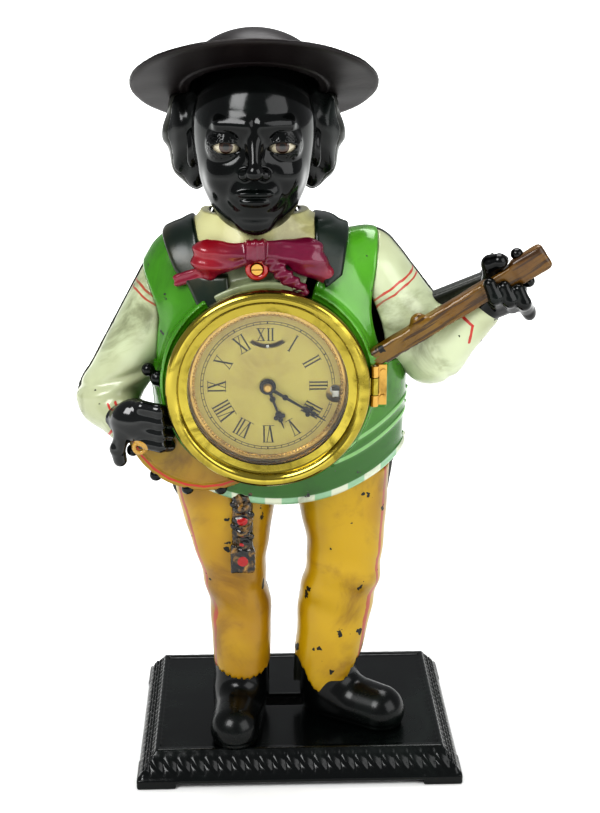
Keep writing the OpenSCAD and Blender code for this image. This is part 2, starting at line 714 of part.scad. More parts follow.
module mainspring() color([0.35, 0.38, 0.45]) {
  layer(win_p, 16.4, 10.6) difference() {
    spiral2d(3.2, 16.6, spring_coils, 0.55, 270);
    circle(2.6, $fn = 48);
  }
  layer([0, 0], 16.4, 10.6) difference() {
    union() {
      stroke(35.5, -21.1, 13.2, -37.3, 0.55);
      translate(pillar_p[2]) circle(2.65, $fn = 40);
    }
    translate(pillar_p[2]) circle(2.1, $fn = 40);
  }
}

module great_wheel() color([0.76, 0.60, 0.30]) {
  layer(win_p, great_d, 2) difference() {
    rotate(atan2(-win_p[1], -win_p[0]) + 180 / 75) wheel2d(75, great_m);
    circle(2.56, $fn = 48);
    crossings(5, 20, 26.5, 5);
  }
  arbor([win_p[0], win_p[1] + 14], great_d + 2, 2.6, 1.2);
  arbor([win_p[0] + 9.5, win_p[1] + 13], great_d + 2, 2.6, 0.8);
}

module click() color([0.5, 0.48, 0.42]) layer([win_p[0], win_p[1] + 14], 14, 1.2) difference() {
  union() {
    circle(2.4, $fn = 40);
    polygon([[0, 2.2], [-6.4, -3.0], [-7.4, -5.0], [-4.6, -3.6], [0.2, -2.2]]);
  }
  circle(1.26, $fn = 40);
}

module click_spring() color([0.6, 0.58, 0.55]) layer([win_p[0], win_p[1] + 14], 14, 0.8) difference() {
  union() {
    translate([9.5, -1]) circle(1.6, $fn = 32);
    polygon([[9.6, 0.4], [9.4, 1.0], [2, 4.2], [-7.4, 0.5], [-7.2, 0.0], [2, 3.6]]);
  }
  translate([9.5, -1]) circle(0.82, $fn = 32);
}

// ---------- going train ----------

function dir_deg(a, b) = atan2(b[1] - a[1], b[0] - a[0]);

module centre_arbor() color([0.6, 0.58, 0.55]) {
  arbor([0, 0], back_d, 43.9 - back_d, 1.2);
  lantern([0, 0], 10.2, 3.8, 14, great_m, 0.5, dir_deg([0, 0], win_p), 1.2);
}

module train_wheel(p, q, d, h, n, m, hub, bore) layer(p, d, h) difference() {
  rotate(dir_deg(p, q) + 180 / n) wheel2d(n, m);
  crossings(4, hub, n * m / 2 - 2, 1.4);
  circle(bore, $fn = 32);
}

module centre_wheel() color([0.76, 0.60, 0.30])
    train_wheel([0, 0], third_p, centre_d, 1, 64, train_m, 3.5, 1.2);

module third_pinion() color([0.6, 0.58, 0.55]) {
  arbor(third_p, back_d, front_d + plate_t - back_d, 0.6);
  lantern(third_p, 27.2, 2.6, 8, train_m, 0.24, dir_deg(third_p, [0, 0]), 0.6);
}

module third_wheel() color([0.76, 0.60, 0.30])
    train_wheel(third_p, fourth_p, third_d, 0.9, 60, train_m, 2.6, 0.6);

module fourth_pinion() color([0.6, 0.58, 0.55]) {
  arbor(fourth_p, back_d, front_d + plate_t - back_d, 0.6);
  lantern(fourth_p, 22.2, 2.6, 8, train_m, 0.24, dir_deg(fourth_p, third_p), 0.6);
}

module fourth_wheel() color([0.76, 0.60, 0.30])
    train_wheel(fourth_p, escape_p, fourth_d, 0.8, 64, fourth_m, 2.4, 0.6);

module escape_pinion() color([0.6, 0.58, 0.55]) {
  arbor(escape_p, back_d, front_d + plate_t - back_d, 0.45);
  lantern(escape_p, 13.2, 2.4, 8, fourth_m, 0.19, dir_deg(escape_p, fourth_p), 0.45);
}

module escape_wheel() color([0.76, 0.60, 0.30]) layer(escape_p, lever_d + 0.1, 1) difference() {
  polygon([for (i = [0:14]) for (q = [[5.2, 0], [7, 8], [6.9, 9.4], [5.2, 12]])
    [q[0] * cos(24 * i + q[1]), q[0] * sin(24 * i + q[1])]]);
  crossings(4, 1.8, 4.2, 0.9);
  circle(0.45, $fn = 32);
}

module pallet_lever() color([0.6, 0.58, 0.55]) {
  arbor(lever_p, back_d, front_d + plate_t - back_d, 0.6);
  layer(lever_p, lever_d, 1.2) rotate(dir_deg(lever_p, balance_p)) difference() {
    union() {
      circle(1.8, $fn = 40);
      polygon([[0, -1.1], [0, 1.1], [13, 0.7], [13, -0.7]]);
      polygon([[12.6, -1.5], [15, -1.5], [15, -0.6], [13.6, -0.6], [13.6, 0.6], [15, 0.6], [15, 1.5],
          [12.6, 1.5]]);
      for (s = [-1, 1]) polygon([[0.6, s * 1.4], [-3.3, s * 7], [-4.6, s * 6.6], [-3.6, s * 5.6],
          [-1.6, s * 0.8]]);
    }
    circle(0.6, $fn = 32);
  }
  layer(lever_p, lever_d, 4.4) rotate(dir_deg(lever_p, balance_p)) translate([12, 0]) circle(0.55, $fn = 32);
}

module balance_staff() color([0.6, 0.58, 0.55]) {
  arbor(balance_p, back_d, 2, 0.4);
  arbor(balance_p, back_d + 1.8, 23.4, 0.8);
  arbor(balance_p, back_d + 25.1, 2, 0.4);
  layer(balance_p, 16.6, 1) ring2d(3.7, 0.8, 48);
  a = dir_deg(balance_p, lever_p);
  arbor([balance_p[0] + 3 * cos(a), balance_p[1] + 3 * sin(a)], 17.5, 1.9, 0.4);
}

module balance_wheel() color([0.76, 0.60, 0.30]) layer(balance_p, 11, 1.6) {
  ring2d(balance_r, balance_r - 2);
  difference() {
    union() {
      circle(2.4, $fn = 40);
      for (a = [30, 150, 270]) rotate(a) translate([0, -0.7]) square([balance_r - 1, 1.4]);
    }
    circle(0.8, $fn = 32);
  }
}

module hairspring() color([0.3, 0.34, 0.45]) layer(balance_p, 27, 1.2) difference() {
  spiral2d(1.3, 7.4, 8, 0.22, 90);
  circle(0.85, $fn = 32);
}

module hairspring_stud() color([0.72, 0.56, 0.28])
    layer([balance_p[0], balance_p[1] + 8.7], 26.6, front_d - 26.6)
  square([1.8, 2.2], center = true);

module regulator() color([0.5, 0.48, 0.42]) {
  layer(balance_p, front_d + plate_t + 0.3, 0.8) {
    ring2d(5, 3.06, 48);
    translate([-0.9, -slot_r - 0.9]) square([1.8, slot_r - 3.5]);
  }
  arbor(slot_pt(slot_r, 0), front_d + plate_t + 0.3, 7.4, 0.8);
}

// ---------- motion work ----------

module cannon_pinion() color([0.76, 0.60, 0.30]) {
  layer([0, 0], 34, 2) difference() {
    rotate(dir_deg([0, 0], motion_p)) involute2d(12, 0.5);
    circle(1.2, $fn = 32);
  }
  layer([0, 0], 35.9, 6.3) ring2d(1.7, 1.2, 40);
}

module minute_stud() color([0.6, 0.58, 0.55]) arbor(motion_p, front_d + plate_t, 5.6, 0.8);

module minute_wheel() color([0.76, 0.60, 0.30]) {
  layer(motion_p, 34.5, 0.9) difference() {
    rotate(dir_deg(motion_p, [0, 0]) + 5) involute2d(36, 0.5);
    circle(0.85, $fn = 32);
  }
  layer(motion_p, 35.3, 3.1) difference() {
    rotate(dir_deg(motion_p, [0, 0])) involute2d(10, 0.48);
    circle(0.85, $fn = 32);
  }
}

module hour_wheel() color([0.76, 0.60, 0.30]) {
  layer([0, 0], 37, 1) difference() {
    rotate(dir_deg([0, 0], motion_p) + 4.5) involute2d(40, 0.48);
    circle(1.78, $fn = 40);
  }
  layer([0, 0], 37.9, 3.7) ring2d(2.6, 1.78, 48);
}

// ---------- eyes ----------

module eye_axle() color([0.6, 0.58, 0.55]) on_base() {
  translate([head_x - 18, -eye_d, eye_z]) rotate([0, 90, 0]) cylinder(h = 36, r = 1.2, $fn = 40);
  difference() {
    union() {
      translate([head_x - 1.2, -eye_d, eye_z]) rotate([0, 90, 0]) cylinder(h = 2.4, r = 2.6, $fn = 40);
      translate([head_x - 0.9, -eye_d, eye_z - 0.5]) cube([1.8, eye_arm - 2, 1]);
      translate([link_x, -link_d, eye_z - 0.5]) cylinder(h = 1, r = 2.9, $fn = 40);
    }
    translate([link_x, -link_d, eye_z - 2]) cylinder(h = 4, r = 1.7, $fn = 40);
  }
}

module eyes() color([0.92, 0.90, 0.84]) on_base() for (s = [-1, 1])
  translate([head_x + s * eye_gap / 2, -eye_d, eye_z]) difference() {
    sphere(eye_r, $fn = 64);
    translate([s * 4.3 - 6, 0, 0]) rotate([0, 90, 0]) translate([0, 0, 6 - s * 4.3])
        rotate([0, s * 90 - 90, 0])
      translate([0, 0, -9]) cylinder(h = 13.1, r = 1.22, $fn = 40);
  }

module eye_link() color([0.6, 0.58, 0.55]) on_base() {
  translate([link_x, -link_d, dial_z + 34.6]) cylinder(h = eye_z + 4 - dial_z - 34.6, r = 0.7, $fn = 32);
  for (z = [eye_z - 2.6, eye_z + 1.4]) translate([link_x, -link_d, z]) cylinder(h = 1.2, r = 2.4, $fn = 32);
  translate([link_x, -link_d + 0.8, dial_z + 32]) rotate([90, 0, 0]) difference() {
    cylinder(h = 1.6, r = 3.1, $fn = 40);
    translate([0, 0, -1]) cylinder(h = 4, r = 2, $fn = 40);
  }
}

module eye_bracket() color([0.62, 0.50, 0.28]) on_base() difference() {
  union() {
    translate([head_x - 5, -36.4, 367.4]) cube([10, 16.4, 1.4]);
    for (s = [-1, 1]) translate([head_x + s * 4.2 - 0.7, -36.4, eye_z - 3]) cube([1.4, 5.4, 19]);
  }
  translate([head_x - 8, -eye_d, eye_z]) rotate([0, 90, 0]) cylinder(h = 16, r = 1.25, $fn = 40);
  translate([head_x, -28, 360]) cylinder(h = 12, r = 1.6, $fn = 32);
}

module eye_bracket_screw() color([0.5, 0.48, 0.42]) on_base() translate([head_x, -28, 365.2]) {
  cylinder(h = 2.2, r = 2.8, $fn = 32);
  cylinder(h = 10, r = 1.5, $fn = 32);
}

plinth();
plinth_screws();
front_casting();
back_casting();
case_screws();
hat();
hat_screw();
stud_ring();
stud_screw();
dial();
dial_marks();
dial_ring();
bezel();
bezel_glass();
hinge_leaf();
hinge_pin();
leaf_screws();
front_plate();
back_plate();
pillars();
pillar_nuts();
movement_screws();
winding_arbor();
ratchet_wheel();
mainspring();
great_wheel();
click();
click_spring();
centre_arbor();
centre_wheel();
cannon_pinion();
minute_stud();
minute_wheel();
hour_wheel();
hour_hand();
minute_hand();
hand_nut();
third_pinion();
third_wheel();
fourth_pinion();
fourth_wheel();
escape_pinion();
escape_wheel();
pallet_lever();
balance_staff();
balance_wheel();
hairspring();
hairspring_stud();
regulator();
eye_link();
eye_axle();
eyes();
eye_bracket();
eye_bracket_screw();
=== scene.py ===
"""Looks of a figural shelf clock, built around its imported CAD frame."""
import json
import math

import bpy
import numpy as np
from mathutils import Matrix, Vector


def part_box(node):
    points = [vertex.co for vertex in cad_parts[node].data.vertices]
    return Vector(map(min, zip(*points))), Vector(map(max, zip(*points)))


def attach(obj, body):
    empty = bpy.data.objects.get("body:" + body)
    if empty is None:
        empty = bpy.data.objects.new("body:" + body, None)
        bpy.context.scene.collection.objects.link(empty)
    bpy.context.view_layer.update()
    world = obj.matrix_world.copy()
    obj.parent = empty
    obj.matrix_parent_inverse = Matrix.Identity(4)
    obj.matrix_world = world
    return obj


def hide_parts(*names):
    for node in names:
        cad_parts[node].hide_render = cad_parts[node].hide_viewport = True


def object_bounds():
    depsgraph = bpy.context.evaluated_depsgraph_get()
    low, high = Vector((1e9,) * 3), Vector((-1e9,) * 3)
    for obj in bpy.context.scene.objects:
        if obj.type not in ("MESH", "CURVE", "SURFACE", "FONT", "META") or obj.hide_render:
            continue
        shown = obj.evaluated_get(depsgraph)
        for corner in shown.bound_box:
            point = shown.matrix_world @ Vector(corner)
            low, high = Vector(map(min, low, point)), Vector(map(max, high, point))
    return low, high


bl_info = {
    "name": "Figural Shelf Clock",
    "version": (1, 0, 0),
    "blender": (4, 5, 0),
    "location": "View3D > Sidebar > Clock",
    "description": "Builds the painted castings, ornament, finishes and stage of a figural shelf clock",
    "category": "Object",
}

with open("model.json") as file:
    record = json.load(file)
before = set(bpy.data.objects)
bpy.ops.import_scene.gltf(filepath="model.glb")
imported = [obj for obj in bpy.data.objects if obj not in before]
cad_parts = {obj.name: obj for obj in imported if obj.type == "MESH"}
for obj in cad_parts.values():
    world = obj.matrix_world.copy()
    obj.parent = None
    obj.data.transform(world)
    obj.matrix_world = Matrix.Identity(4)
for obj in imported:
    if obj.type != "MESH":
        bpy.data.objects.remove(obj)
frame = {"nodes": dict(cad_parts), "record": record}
CAD_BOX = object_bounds()
MM = 0.001
PLINTH_LOW, PLINTH_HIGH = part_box("plinth")
BASE_X = (PLINTH_LOW.x + PLINTH_HIGH.x) / 2 / MM
HALF_W = (PLINTH_HIGH.x - PLINTH_LOW.x) / 2 / MM
HALF_D = (PLINTH_HIGH.y - PLINTH_LOW.y) / 2 / MM
TOP_Z = PLINTH_HIGH.z / MM
FLOOR_Z = TOP_Z - 1.4
DIAL_LOW, DIAL_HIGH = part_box("dial")
DIAL = np.array([(DIAL_LOW.x + DIAL_HIGH.x) / 2 / MM - BASE_X, 0.0, (DIAL_LOW.z + DIAL_HIGH.z) / 2 / MM])
SEAT_D = -DIAL_HIGH.y / MM
SEAT_R = 41.5
RECESS_R = 54.5
WALL = 3.2
HEAD_WALL = 4.5
HEAD_X = -22.0
EYE_LOW, EYE_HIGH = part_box("eyes")
EYE_R = (EYE_HIGH.z - EYE_LOW.z) / 2 / MM
EYE_Z = (EYE_HIGH.z + EYE_LOW.z) / 2 / MM
EYE_Y = EYE_LOW.y / MM + EYE_R
EYE_HALF = 14.0
LID_GAP = [(-7.2, -1.1), (-4.5, 1.0), (0, 1.9), (4.2, 1.4), (7.2, -0.3), (4.2, -2.4), (0, -3.0), (-4.5, -2.5)]
HAT_TILT = math.radians(26.0)
HAT_MID = np.array([HEAD_X + 0.5, -5.0, 376.0])


# ---------- distance fields, in millimetres from the plinth's centre ----------

def length(p):
    """Length of each row of points."""
    return np.sqrt((p * p).sum(axis=1))


def ball(p, centre, radius):
    """A sphere."""
    return length(p - centre) - radius


def egg(p, centre, radii):
    """An ellipsoid."""
    q = (p - centre) / np.asarray(radii, np.float32)
    k = length(q)
    return k * (k - 1.0) / np.maximum(length(q / np.asarray(radii, np.float32)), 1e-6)


def limb(p, a, b, ra, rb, flat=1.0):
    """A tapering rod with round ends; flat below 1 squeezes it along Y."""
    a, b = np.array(a, np.float32), np.array(b, np.float32)
    q = p - a
    d = b - a
    t = np.clip(q @ d / (d @ d), 0.0, 1.0)
    off = q - t[:, None] * d
    off[:, 1] = off[:, 1] / flat
    return (length(off) - (ra + (rb - ra) * t)) * min(1.0, flat)


def block(p, centre, half, edge=0.5, turn_y=0.0, turn_x=0.0):
    """A box with rounded edges, turned about Y and then about X."""
    q = p - np.array(centre, np.float32)
    if turn_x:
        c, s = math.cos(turn_x), math.sin(turn_x)
        q = np.stack([q[:, 0], c * q[:, 1] + s * q[:, 2], -s * q[:, 1] + c * q[:, 2]], axis=1)
    if turn_y:
        c, s = math.cos(turn_y), math.sin(turn_y)
        q = np.stack([c * q[:, 0] + s * q[:, 2], q[:, 1], -s * q[:, 0] + c * q[:, 2]], axis=1)
    e = np.abs(q) - (np.array(half, np.float32) - edge)
    return length(np.maximum(e, 0.0)) + np.minimum(e.max(axis=1), 0.0) - edge


def disc(p, centre, radius, y_low, y_high, edge=0.6):
    """A round plate facing the front."""
    r = np.hypot(p[:, 0] - centre[0], p[:, 2] - centre[2]) - radius + edge
    h = np.abs(p[:, 1] - (y_low + y_high) / 2) - (y_high - y_low) / 2 + edge
    return np.hypot(np.maximum(r, 0.0), np.maximum(h, 0.0)) + np.minimum(np.maximum(r, h), 0.0) - edge


def join(a, b, k=0.0):
    """Both fields together, with a fillet of size k."""
    if k <= 0.0:
        return np.minimum(a, b)
    h = np.maximum(k - np.abs(a - b), 0.0) / k
    return np.minimum(a, b) - h * h * k * 0.25


def cut(a, b, k=0.0):
    """The first field without the second, with an edge rounded by k."""
    return -join(-a, b, k)


def both(a, b, k=0.0):
    """What lies in both fields, with an edge rounded by k."""
    return -join(-a, -b, k)


def outline(u, v, points):
    """Signed distance to a closed outline."""
    pts = np.array(points, np.float32)
    best = np.full(u.shape, 1e9, np.float32)
    inside = np.zeros(u.shape, bool)
    for (ax, ay), (bx, by) in zip(pts, np.roll(pts, -1, axis=0)):
        ex, ey = bx - ax, by - ay
        wx, wy = u - ax, v - ay
        t = np.clip((wx * ex + wy * ey) / (ex * ex + ey * ey), 0.0, 1.0)
        best = np.minimum(best, np.hypot(wx - t * ex, wy - t * ey))
        over = (ay > v) != (by > v)
        side = wx < ex * wy / (ey if ey else 1e-9)
        inside ^= over & side
    return np.where(inside, -best, best)


def curve(t, knots, values):
    """A smooth curve through values at knots."""
    knots, values = np.array(knots, float), np.array(values, float)
    slope = np.gradient(values, knots)
    i = np.clip(np.searchsorted(knots, t) - 1, 0, len(knots) - 2)
    span = knots[i + 1] - knots[i]
    s = np.clip((t - knots[i]) / span, 0.0, 1.0)
    a, b = values[i], values[i + 1]
    ma, mb = slope[i] * span, slope[i + 1] * span
    return ((2 * s ** 3 - 3 * s ** 2 + 1) * a + (s ** 3 - 2 * s ** 2 + s) * ma
            + (3 * s ** 2 - 2 * s ** 3) * b + (s ** 3 - s ** 2) * mb)


def ripple(p, pitch, seed=0.0):
    """Soft uneven waves between -1 and 1, for hammered and hand-worked surfaces."""
    q = p / pitch
    return (np.sin(q[:, 0] * 1.7 + 1.3 * np.sin(q[:, 2] * 1.1 + seed)) * np.sin(q[:, 2] * 1.4 + seed)
            + np.sin(q[:, 1] * 2.1 + q[:, 0] * 0.7 + seed * 2.0)) * 0.5


# Torso stations from the hem up: height, middle, half width, front and back.
TORSO_Z = [146, 160, 178, 205, 235, 262, 283, 297, 308]
TORSO_X = [-10, -10, -9.5, -9, -10.5, -12, -14, -17, -19]
TORSO_A = [55, 60, 63, 65, 66.5, 64.5, 57, 45, 33]
TORSO_F = [-24, -30, -35, -39, -41, -38, -33, -28, -24]
TORSO_B = [17, 20, 23, 24.5, 25, 24.5, 21.5, 18, 14]


def torso(p, grow=0.0):
    """The trunk, drawn through its stations."""
    z = p[:, 2]
    mid = curve(z, TORSO_Z, TORSO_X)
    a = curve(z, TORSO_Z, TORSO_A) + grow
    front = curve(z, TORSO_Z, TORSO_F) - grow
    back = curve(z, TORSO_Z, TORSO_B) + grow
    b = np.where(p[:, 1] < -4.0, -4.0 - front, back + 4.0)
    k = (np.abs((p[:, 0] - mid) / a) ** 2.35 + np.abs((p[:, 1] + 4.0) / b) ** 2.35) ** (1 / 2.35)
    side = (k - 1.0) * np.minimum(a, b) * 0.8
    return both(side, np.abs(z - 228.0) - 80.0 - grow, 8.0)


def leg(p, knots, x, a, b, y, grow=0.0):
    """One trouser leg: middle, half width, half depth and middle depth at each knot."""
    z = p[:, 2]
    mid, wide = curve(z, knots, x), curve(z, knots, a) + grow
    deep, fore = curve(z, knots, b) + grow, curve(z, knots, y)
    k = (np.abs((p[:, 0] - mid) / wide) ** 2.2 + np.abs((p[:, 1] - fore) / deep) ** 2.2) ** (1 / 2.2)
    return (k - 1.0) * np.minimum(wide, deep) * 0.85


LEG_Z = [36, 50, 66, 88, 104, 120, 140, 165, 180]
LEFT_LEG = ([-31.5, -31.8, -32, -32.8, -35.5, -37, -38.5, -39, -38],
            [16.5, 16.2, 17, 17.6, 17.6, 20.5, 25, 29, 29],
            [18, 18, 18.5, 18, 18.5, 20, 22.5, 25, 25], [-8, -8, -7, -5, -7, -6, -4, -4, -4])
RIGHT_LEG = ([16.0, 17.5, 20, 23, 26, 27.5, 26.5, 24.5, 24], [19.5, 19.5, 19.8, 21.8, 21.5, 21.5, 24, 27, 28],
             [18, 18.5, 19, 19, 19.5, 20.5, 22.5, 25, 25], [-7, -7, -6, -4, -6, -5, -4, -4, -4])


def legs(p, grow=0.0):
    a = leg(p, LEG_Z, *LEFT_LEG, grow)
    b = leg(p, LEG_Z, *RIGHT_LEG, grow)
    return join(a, b, 9.0)


HEM_X = [-60, -49, -34, -17, -10, -4.5, 2.4, 8, 18.5, 27, 34, 38, 60]
HEM_Z = [51, 50, 46, 48.5, 53, 54.5, 50, 39, 35, 43, 53, 57, 58]


def trousers(p):
    d = legs(p)
    ease = curve(p[:, 0], HEM_X, HEM_Z) + 0.7 * np.sin(p[:, 0] * 1.9) + 0.5 * np.sin(p[:, 0] * 3.7 + 1.0)
    d = both(d, np.maximum(ease - p[:, 2], p[:, 2] - 172.0), 2.0)
    folds = np.sin(p[:, 2] * 0.30 + p[:, 0] * 0.12) * np.exp(-((p[:, 2] - 100.0) / 20.0) ** 2)
    return d + 0.45 * folds + 0.25 * ripple(p, 9.0)


def skull(p, grow=0.0):
    """The mass of the head and jaw."""
    d = egg(p, (HEAD_X, -10, 356), (32 + grow, 35 + grow, 41 + grow))
    return join(d, egg(p, (HEAD_X, -19, 334), (25.5 + grow, 24 + grow, 28 + grow)), 10.0)


def throat(p):
    """The passage from the trunk up into the head."""
    return limb(p, (HEAD_X, -13, 290), (HEAD_X, -13, 335), 12.5, 12.5)


def hollow(p):
    """The space inside the castings."""
    d = torso(p, -WALL)
    d = join(d, skull(p, -HEAD_WALL))
    d = join(d, np.maximum(legs(p, -3.6), np.abs(p[:, 2] - 113.0) - 67.0))
    d = join(d, throat(p))
    return join(d, disc(p, DIAL, 51.8, -SEAT_D + 3.0, 0.0))


def dial_well(p):
    """The round opening behind the dial and the flat that the dial sits on."""
    d = disc(p, DIAL, SEAT_R, -90.0, 1.0)
    return join(d, disc(p, DIAL, RECESS_R, -90.0, -SEAT_D))


def drum(p, grow=0.0):
    """The round seat of the dial standing out of the belly."""
    return disc(p, DIAL, 55.0 + grow, -SEAT_D, 0.0, 1.2)


def under_hat(p):
    """Below the brim or inside the crown, negative where the casting may be."""
    c, s = math.cos(HAT_TILT), math.sin(HAT_TILT)
    q = p - HAT_MID
    y, z = c * q[:, 1] - s * q[:, 2], s * q[:, 1] + c * q[:, 2]
    dome = egg(np.stack([q[:, 0], y, z], axis=1), (0, 0, 0), (32.6, 32.6, 25.8))
    return join(z + 0.4, dome)


def front_half(p, d):
    """Keeps what lies before the parting of the two castings."""
    return np.maximum(d, p[:, 1] + 0.15)


def face(p):
    """A calm, closed-mouth face on even proportions, with openings for the eyes."""
    m = p.copy()
    m[:, 0] = np.abs(p[:, 0] - HEAD_X)
    d = skull(p)
    d = join(d, egg(m, (0, -25, 320), (17, 16.5, 13.5)), 9.0)
    d = join(d, egg(m, (0, -37.5, 312.5), (8.5, 6.0, 5.5)), 6.0)
    d = join(d, egg(m, (13.5, -33.5, 336), (9, 8.5, 9)), 7.0)
    d = join(d, limb(m, (4, -43.2, 362.5), (17, -38.5, 362.5), 2.2, 2.6), 5.0)
    d = cut(d, egg(m, (EYE_HALF, -47.5, EYE_Z), (9.5, 7.0, 6.6)), 5.0)
    d = join(d, limb(m, (0, -42.5, 358), (0, -49.5, 342), 2.3, 3.3), 4.0)
    d = join(d, egg(m, (0, -50.0, 340), (4.3, 4.0, 3.6)), 2.6)
    d = join(d, egg(m, (5.0, -46.2, 338.8), (3.2, 3.6, 2.9)), 1.8)
    d = cut(d, egg(m, (3.1, -48.2, 336.2), (1.3, 1.8, 1.1)), 0.9)
    d = join(d, egg(m, (0, -41.8, 327), (12, 4.5, 7)), 5.0)
    d = join(d, egg(m, (2.9, -45.4, 329.1), (6.2, 2.6, 1.9)), 1.0)
    d = join(d, egg(m, (0, -45.2, 325.0), (7.6, 2.9, 2.3)), 1.0)
    d = cut(d, egg(m, (0, -48.6, 327.05), (8.6, 2.3, 0.55)), 0.7)
    d = cut(d, egg(m, (0, -47.6, 333), (1.3, 1.6, 2.4)), 1.4)
    lid = ball(m, (EYE_HALF, EYE_Y, EYE_Z), EYE_R + 1.5)
    d = join(d, lid, 1.6)
    near_eye = np.maximum(p[:, 1] - EYE_Y, ball(m, (EYE_HALF, EYE_Y, EYE_Z), EYE_R + 6.0))
    gap = outline(m[:, 0] - EYE_HALF, p[:, 2] - EYE_Z, LID_GAP)
    d = cut(d, np.maximum(gap - 0.3, near_eye), 0.5)
    d = cut(d, ball(m, (EYE_HALF, EYE_Y, EYE_Z), EYE_R + 0.6))
    crease = np.abs(ball(m, (EYE_HALF, EYE_Y, EYE_Z + 1.2), EYE_R + 2.0))
    arc = np.maximum(crease - 0.35, np.abs(p[:, 2] - EYE_Z - 6.0) - 1.6)
    d = cut(d, np.maximum(arc, p[:, 1] + 36.0), 0.6)
    # ears
    d = join(d, egg(m, (32.5, -6, 346), (3.6, 7.5, 10.5)), 2.0)
    d = cut(d, egg(m, (36.2, -8, 347), (2.4, 4.2, 6.6)), 1.5)
    d = join(d, limb(p, (HEAD_X, -9, 322), (HEAD_X, -7, 296), 19, 22), 6.0)
    d = both(d, under_hat(p))
    d = np.maximum(d, 292.0 - p[:, 2])
    return front_half(p, cut(d, hollow(p)))


def hair_mass(p):
    """Full, waved hair at the sides and back of the head."""
    m = p.copy()
    m[:, 0] = np.abs(p[:, 0] - HEAD_X)
    d = egg(m, (30, 8, 353), (17.5, 17, 26))
    d = join(d, egg(m, (30, 6, 333), (9.5, 11, 10)), 7.0)
    d = join(d, egg(m, (0, 8, 362), (36, 26, 32)), 8.0)
    wave = np.sin((m[:, 0] - 20) * 0.55 + 1.1 * np.sin((p[:, 2] - 340) * 0.12))
    wave = wave + 0.5 * np.sin(p[:, 2] * 0.35 + m[:, 0] * 0.3)
    d = d + 0.75 * wave
    return cut(both(d, under_hat(p)), skull(p, -1.0))


def hair_front(p):
    return front_half(p, hair_mass(p))


COLLAR_WING = [(9, 303), (20, 297.5), (32, 302.5), (40, 315), (30, 318.5), (22, 315), (14, 307)]


def collar(p):
    """A stand-up collar with two turned-down wings."""
    m = p.copy()
    m[:, 0] = np.abs(p[:, 0] - HEAD_X)
    ring = np.hypot((p[:, 0] - HEAD_X) / 1.28, (p[:, 1] + 8.0) / 1.05)
    slope = ring - 21.5 - (311.0 - p[:, 2]) * 0.35
    d = np.maximum(np.abs(slope) * 0.9 - 1.6, np.abs(p[:, 2] - 307.0) - 7.5)
    wing = outline(m[:, 0], p[:, 2], COLLAR_WING)
    surf = torso(p, 4.4)
    flap = np.maximum(wing, np.maximum(surf, -torso(p, 1.6)))
    flap = np.maximum(flap, p[:, 1] + 6.0)
    d = join(d, flap, 2.0)
    return front_half(p, d)


def sewn(p, region, low, high, edge=0.8):
    """A layer of cloth lying on the torso inside a region of the front."""
    body = join(torso(p), drum(p), 3.0)
    d = both(body - high, region, edge)
    d = cut(d, body - low)
    d = cut(cut(d, hollow(p)), dial_well(p))
    return front_half(p, d)


VEE = [(-52, 312), (12, 312), (4, 292), (-4, 270), (-20, 250), (-36, 268), (-46, 290)]


def vee(p, grow):
    """The opening of the waistcoat over the shirt."""
    return outline(p[:, 0], p[:, 2], VEE) - grow


def shirt(p):
    return sewn(p, vee(p, 4.0), -WALL, 0.4)


LAPEL_LEFT = [(-71, 302), (-69, 312), (-54, 314), (-51, 300), (-49, 285), (-36, 285), (-34, 264),
              (-50, 264), (-57, 279), (-64, 286)]
LAPEL_RIGHT = [(8, 318), (28, 315), (28, 306), (23, 284), (14, 278), (9, 296)]


def lapels(p):
    """The dark lapels over both shoulders."""
    region = np.minimum(outline(p[:, 0], p[:, 2], LAPEL_LEFT), outline(p[:, 0], p[:, 2], LAPEL_RIGHT))
    body = join(join(torso(p), left_sleeve_mass(p), 4.0), right_sleeve_mass(p), 4.0)
    d = both(body - 4.2, region, 2.2)
    d = cut(d, np.maximum(body + 1.0, -region - 6.0))
    return front_half(p, cut(cut(d, hollow(p)), dial_well(p)))


ARMHOLE_Z = [225, 238, 250, 261, 274, 286, 298, 312]
ARMHOLE_LEFT = [-74, -75, -74, -73, -77, -82, -84, -84]
ARMHOLE_RIGHT = [52, 46, 41.5, 39.0, 39.2, 41.0, 42.5, 44.0]
ARM_JOIN_Z = 236.0


def armholes(p):
    """Negative between the two armholes of the waistcoat, above the elbows."""
    z = p[:, 2]
    across = np.maximum(p[:, 0] - curve(z, ARMHOLE_Z, ARMHOLE_RIGHT),
                        curve(z, ARMHOLE_Z, ARMHOLE_LEFT) - p[:, 0])
    return np.maximum(across, ARM_JOIN_Z - z)


# The waistcoat's hem is a parabola: its lowest height, middle, half width and rise.
COAT_LOW, COAT_MIDDLE, COAT_HALF, COAT_RISE = 155.0, -10.0, 66.0, 25.0


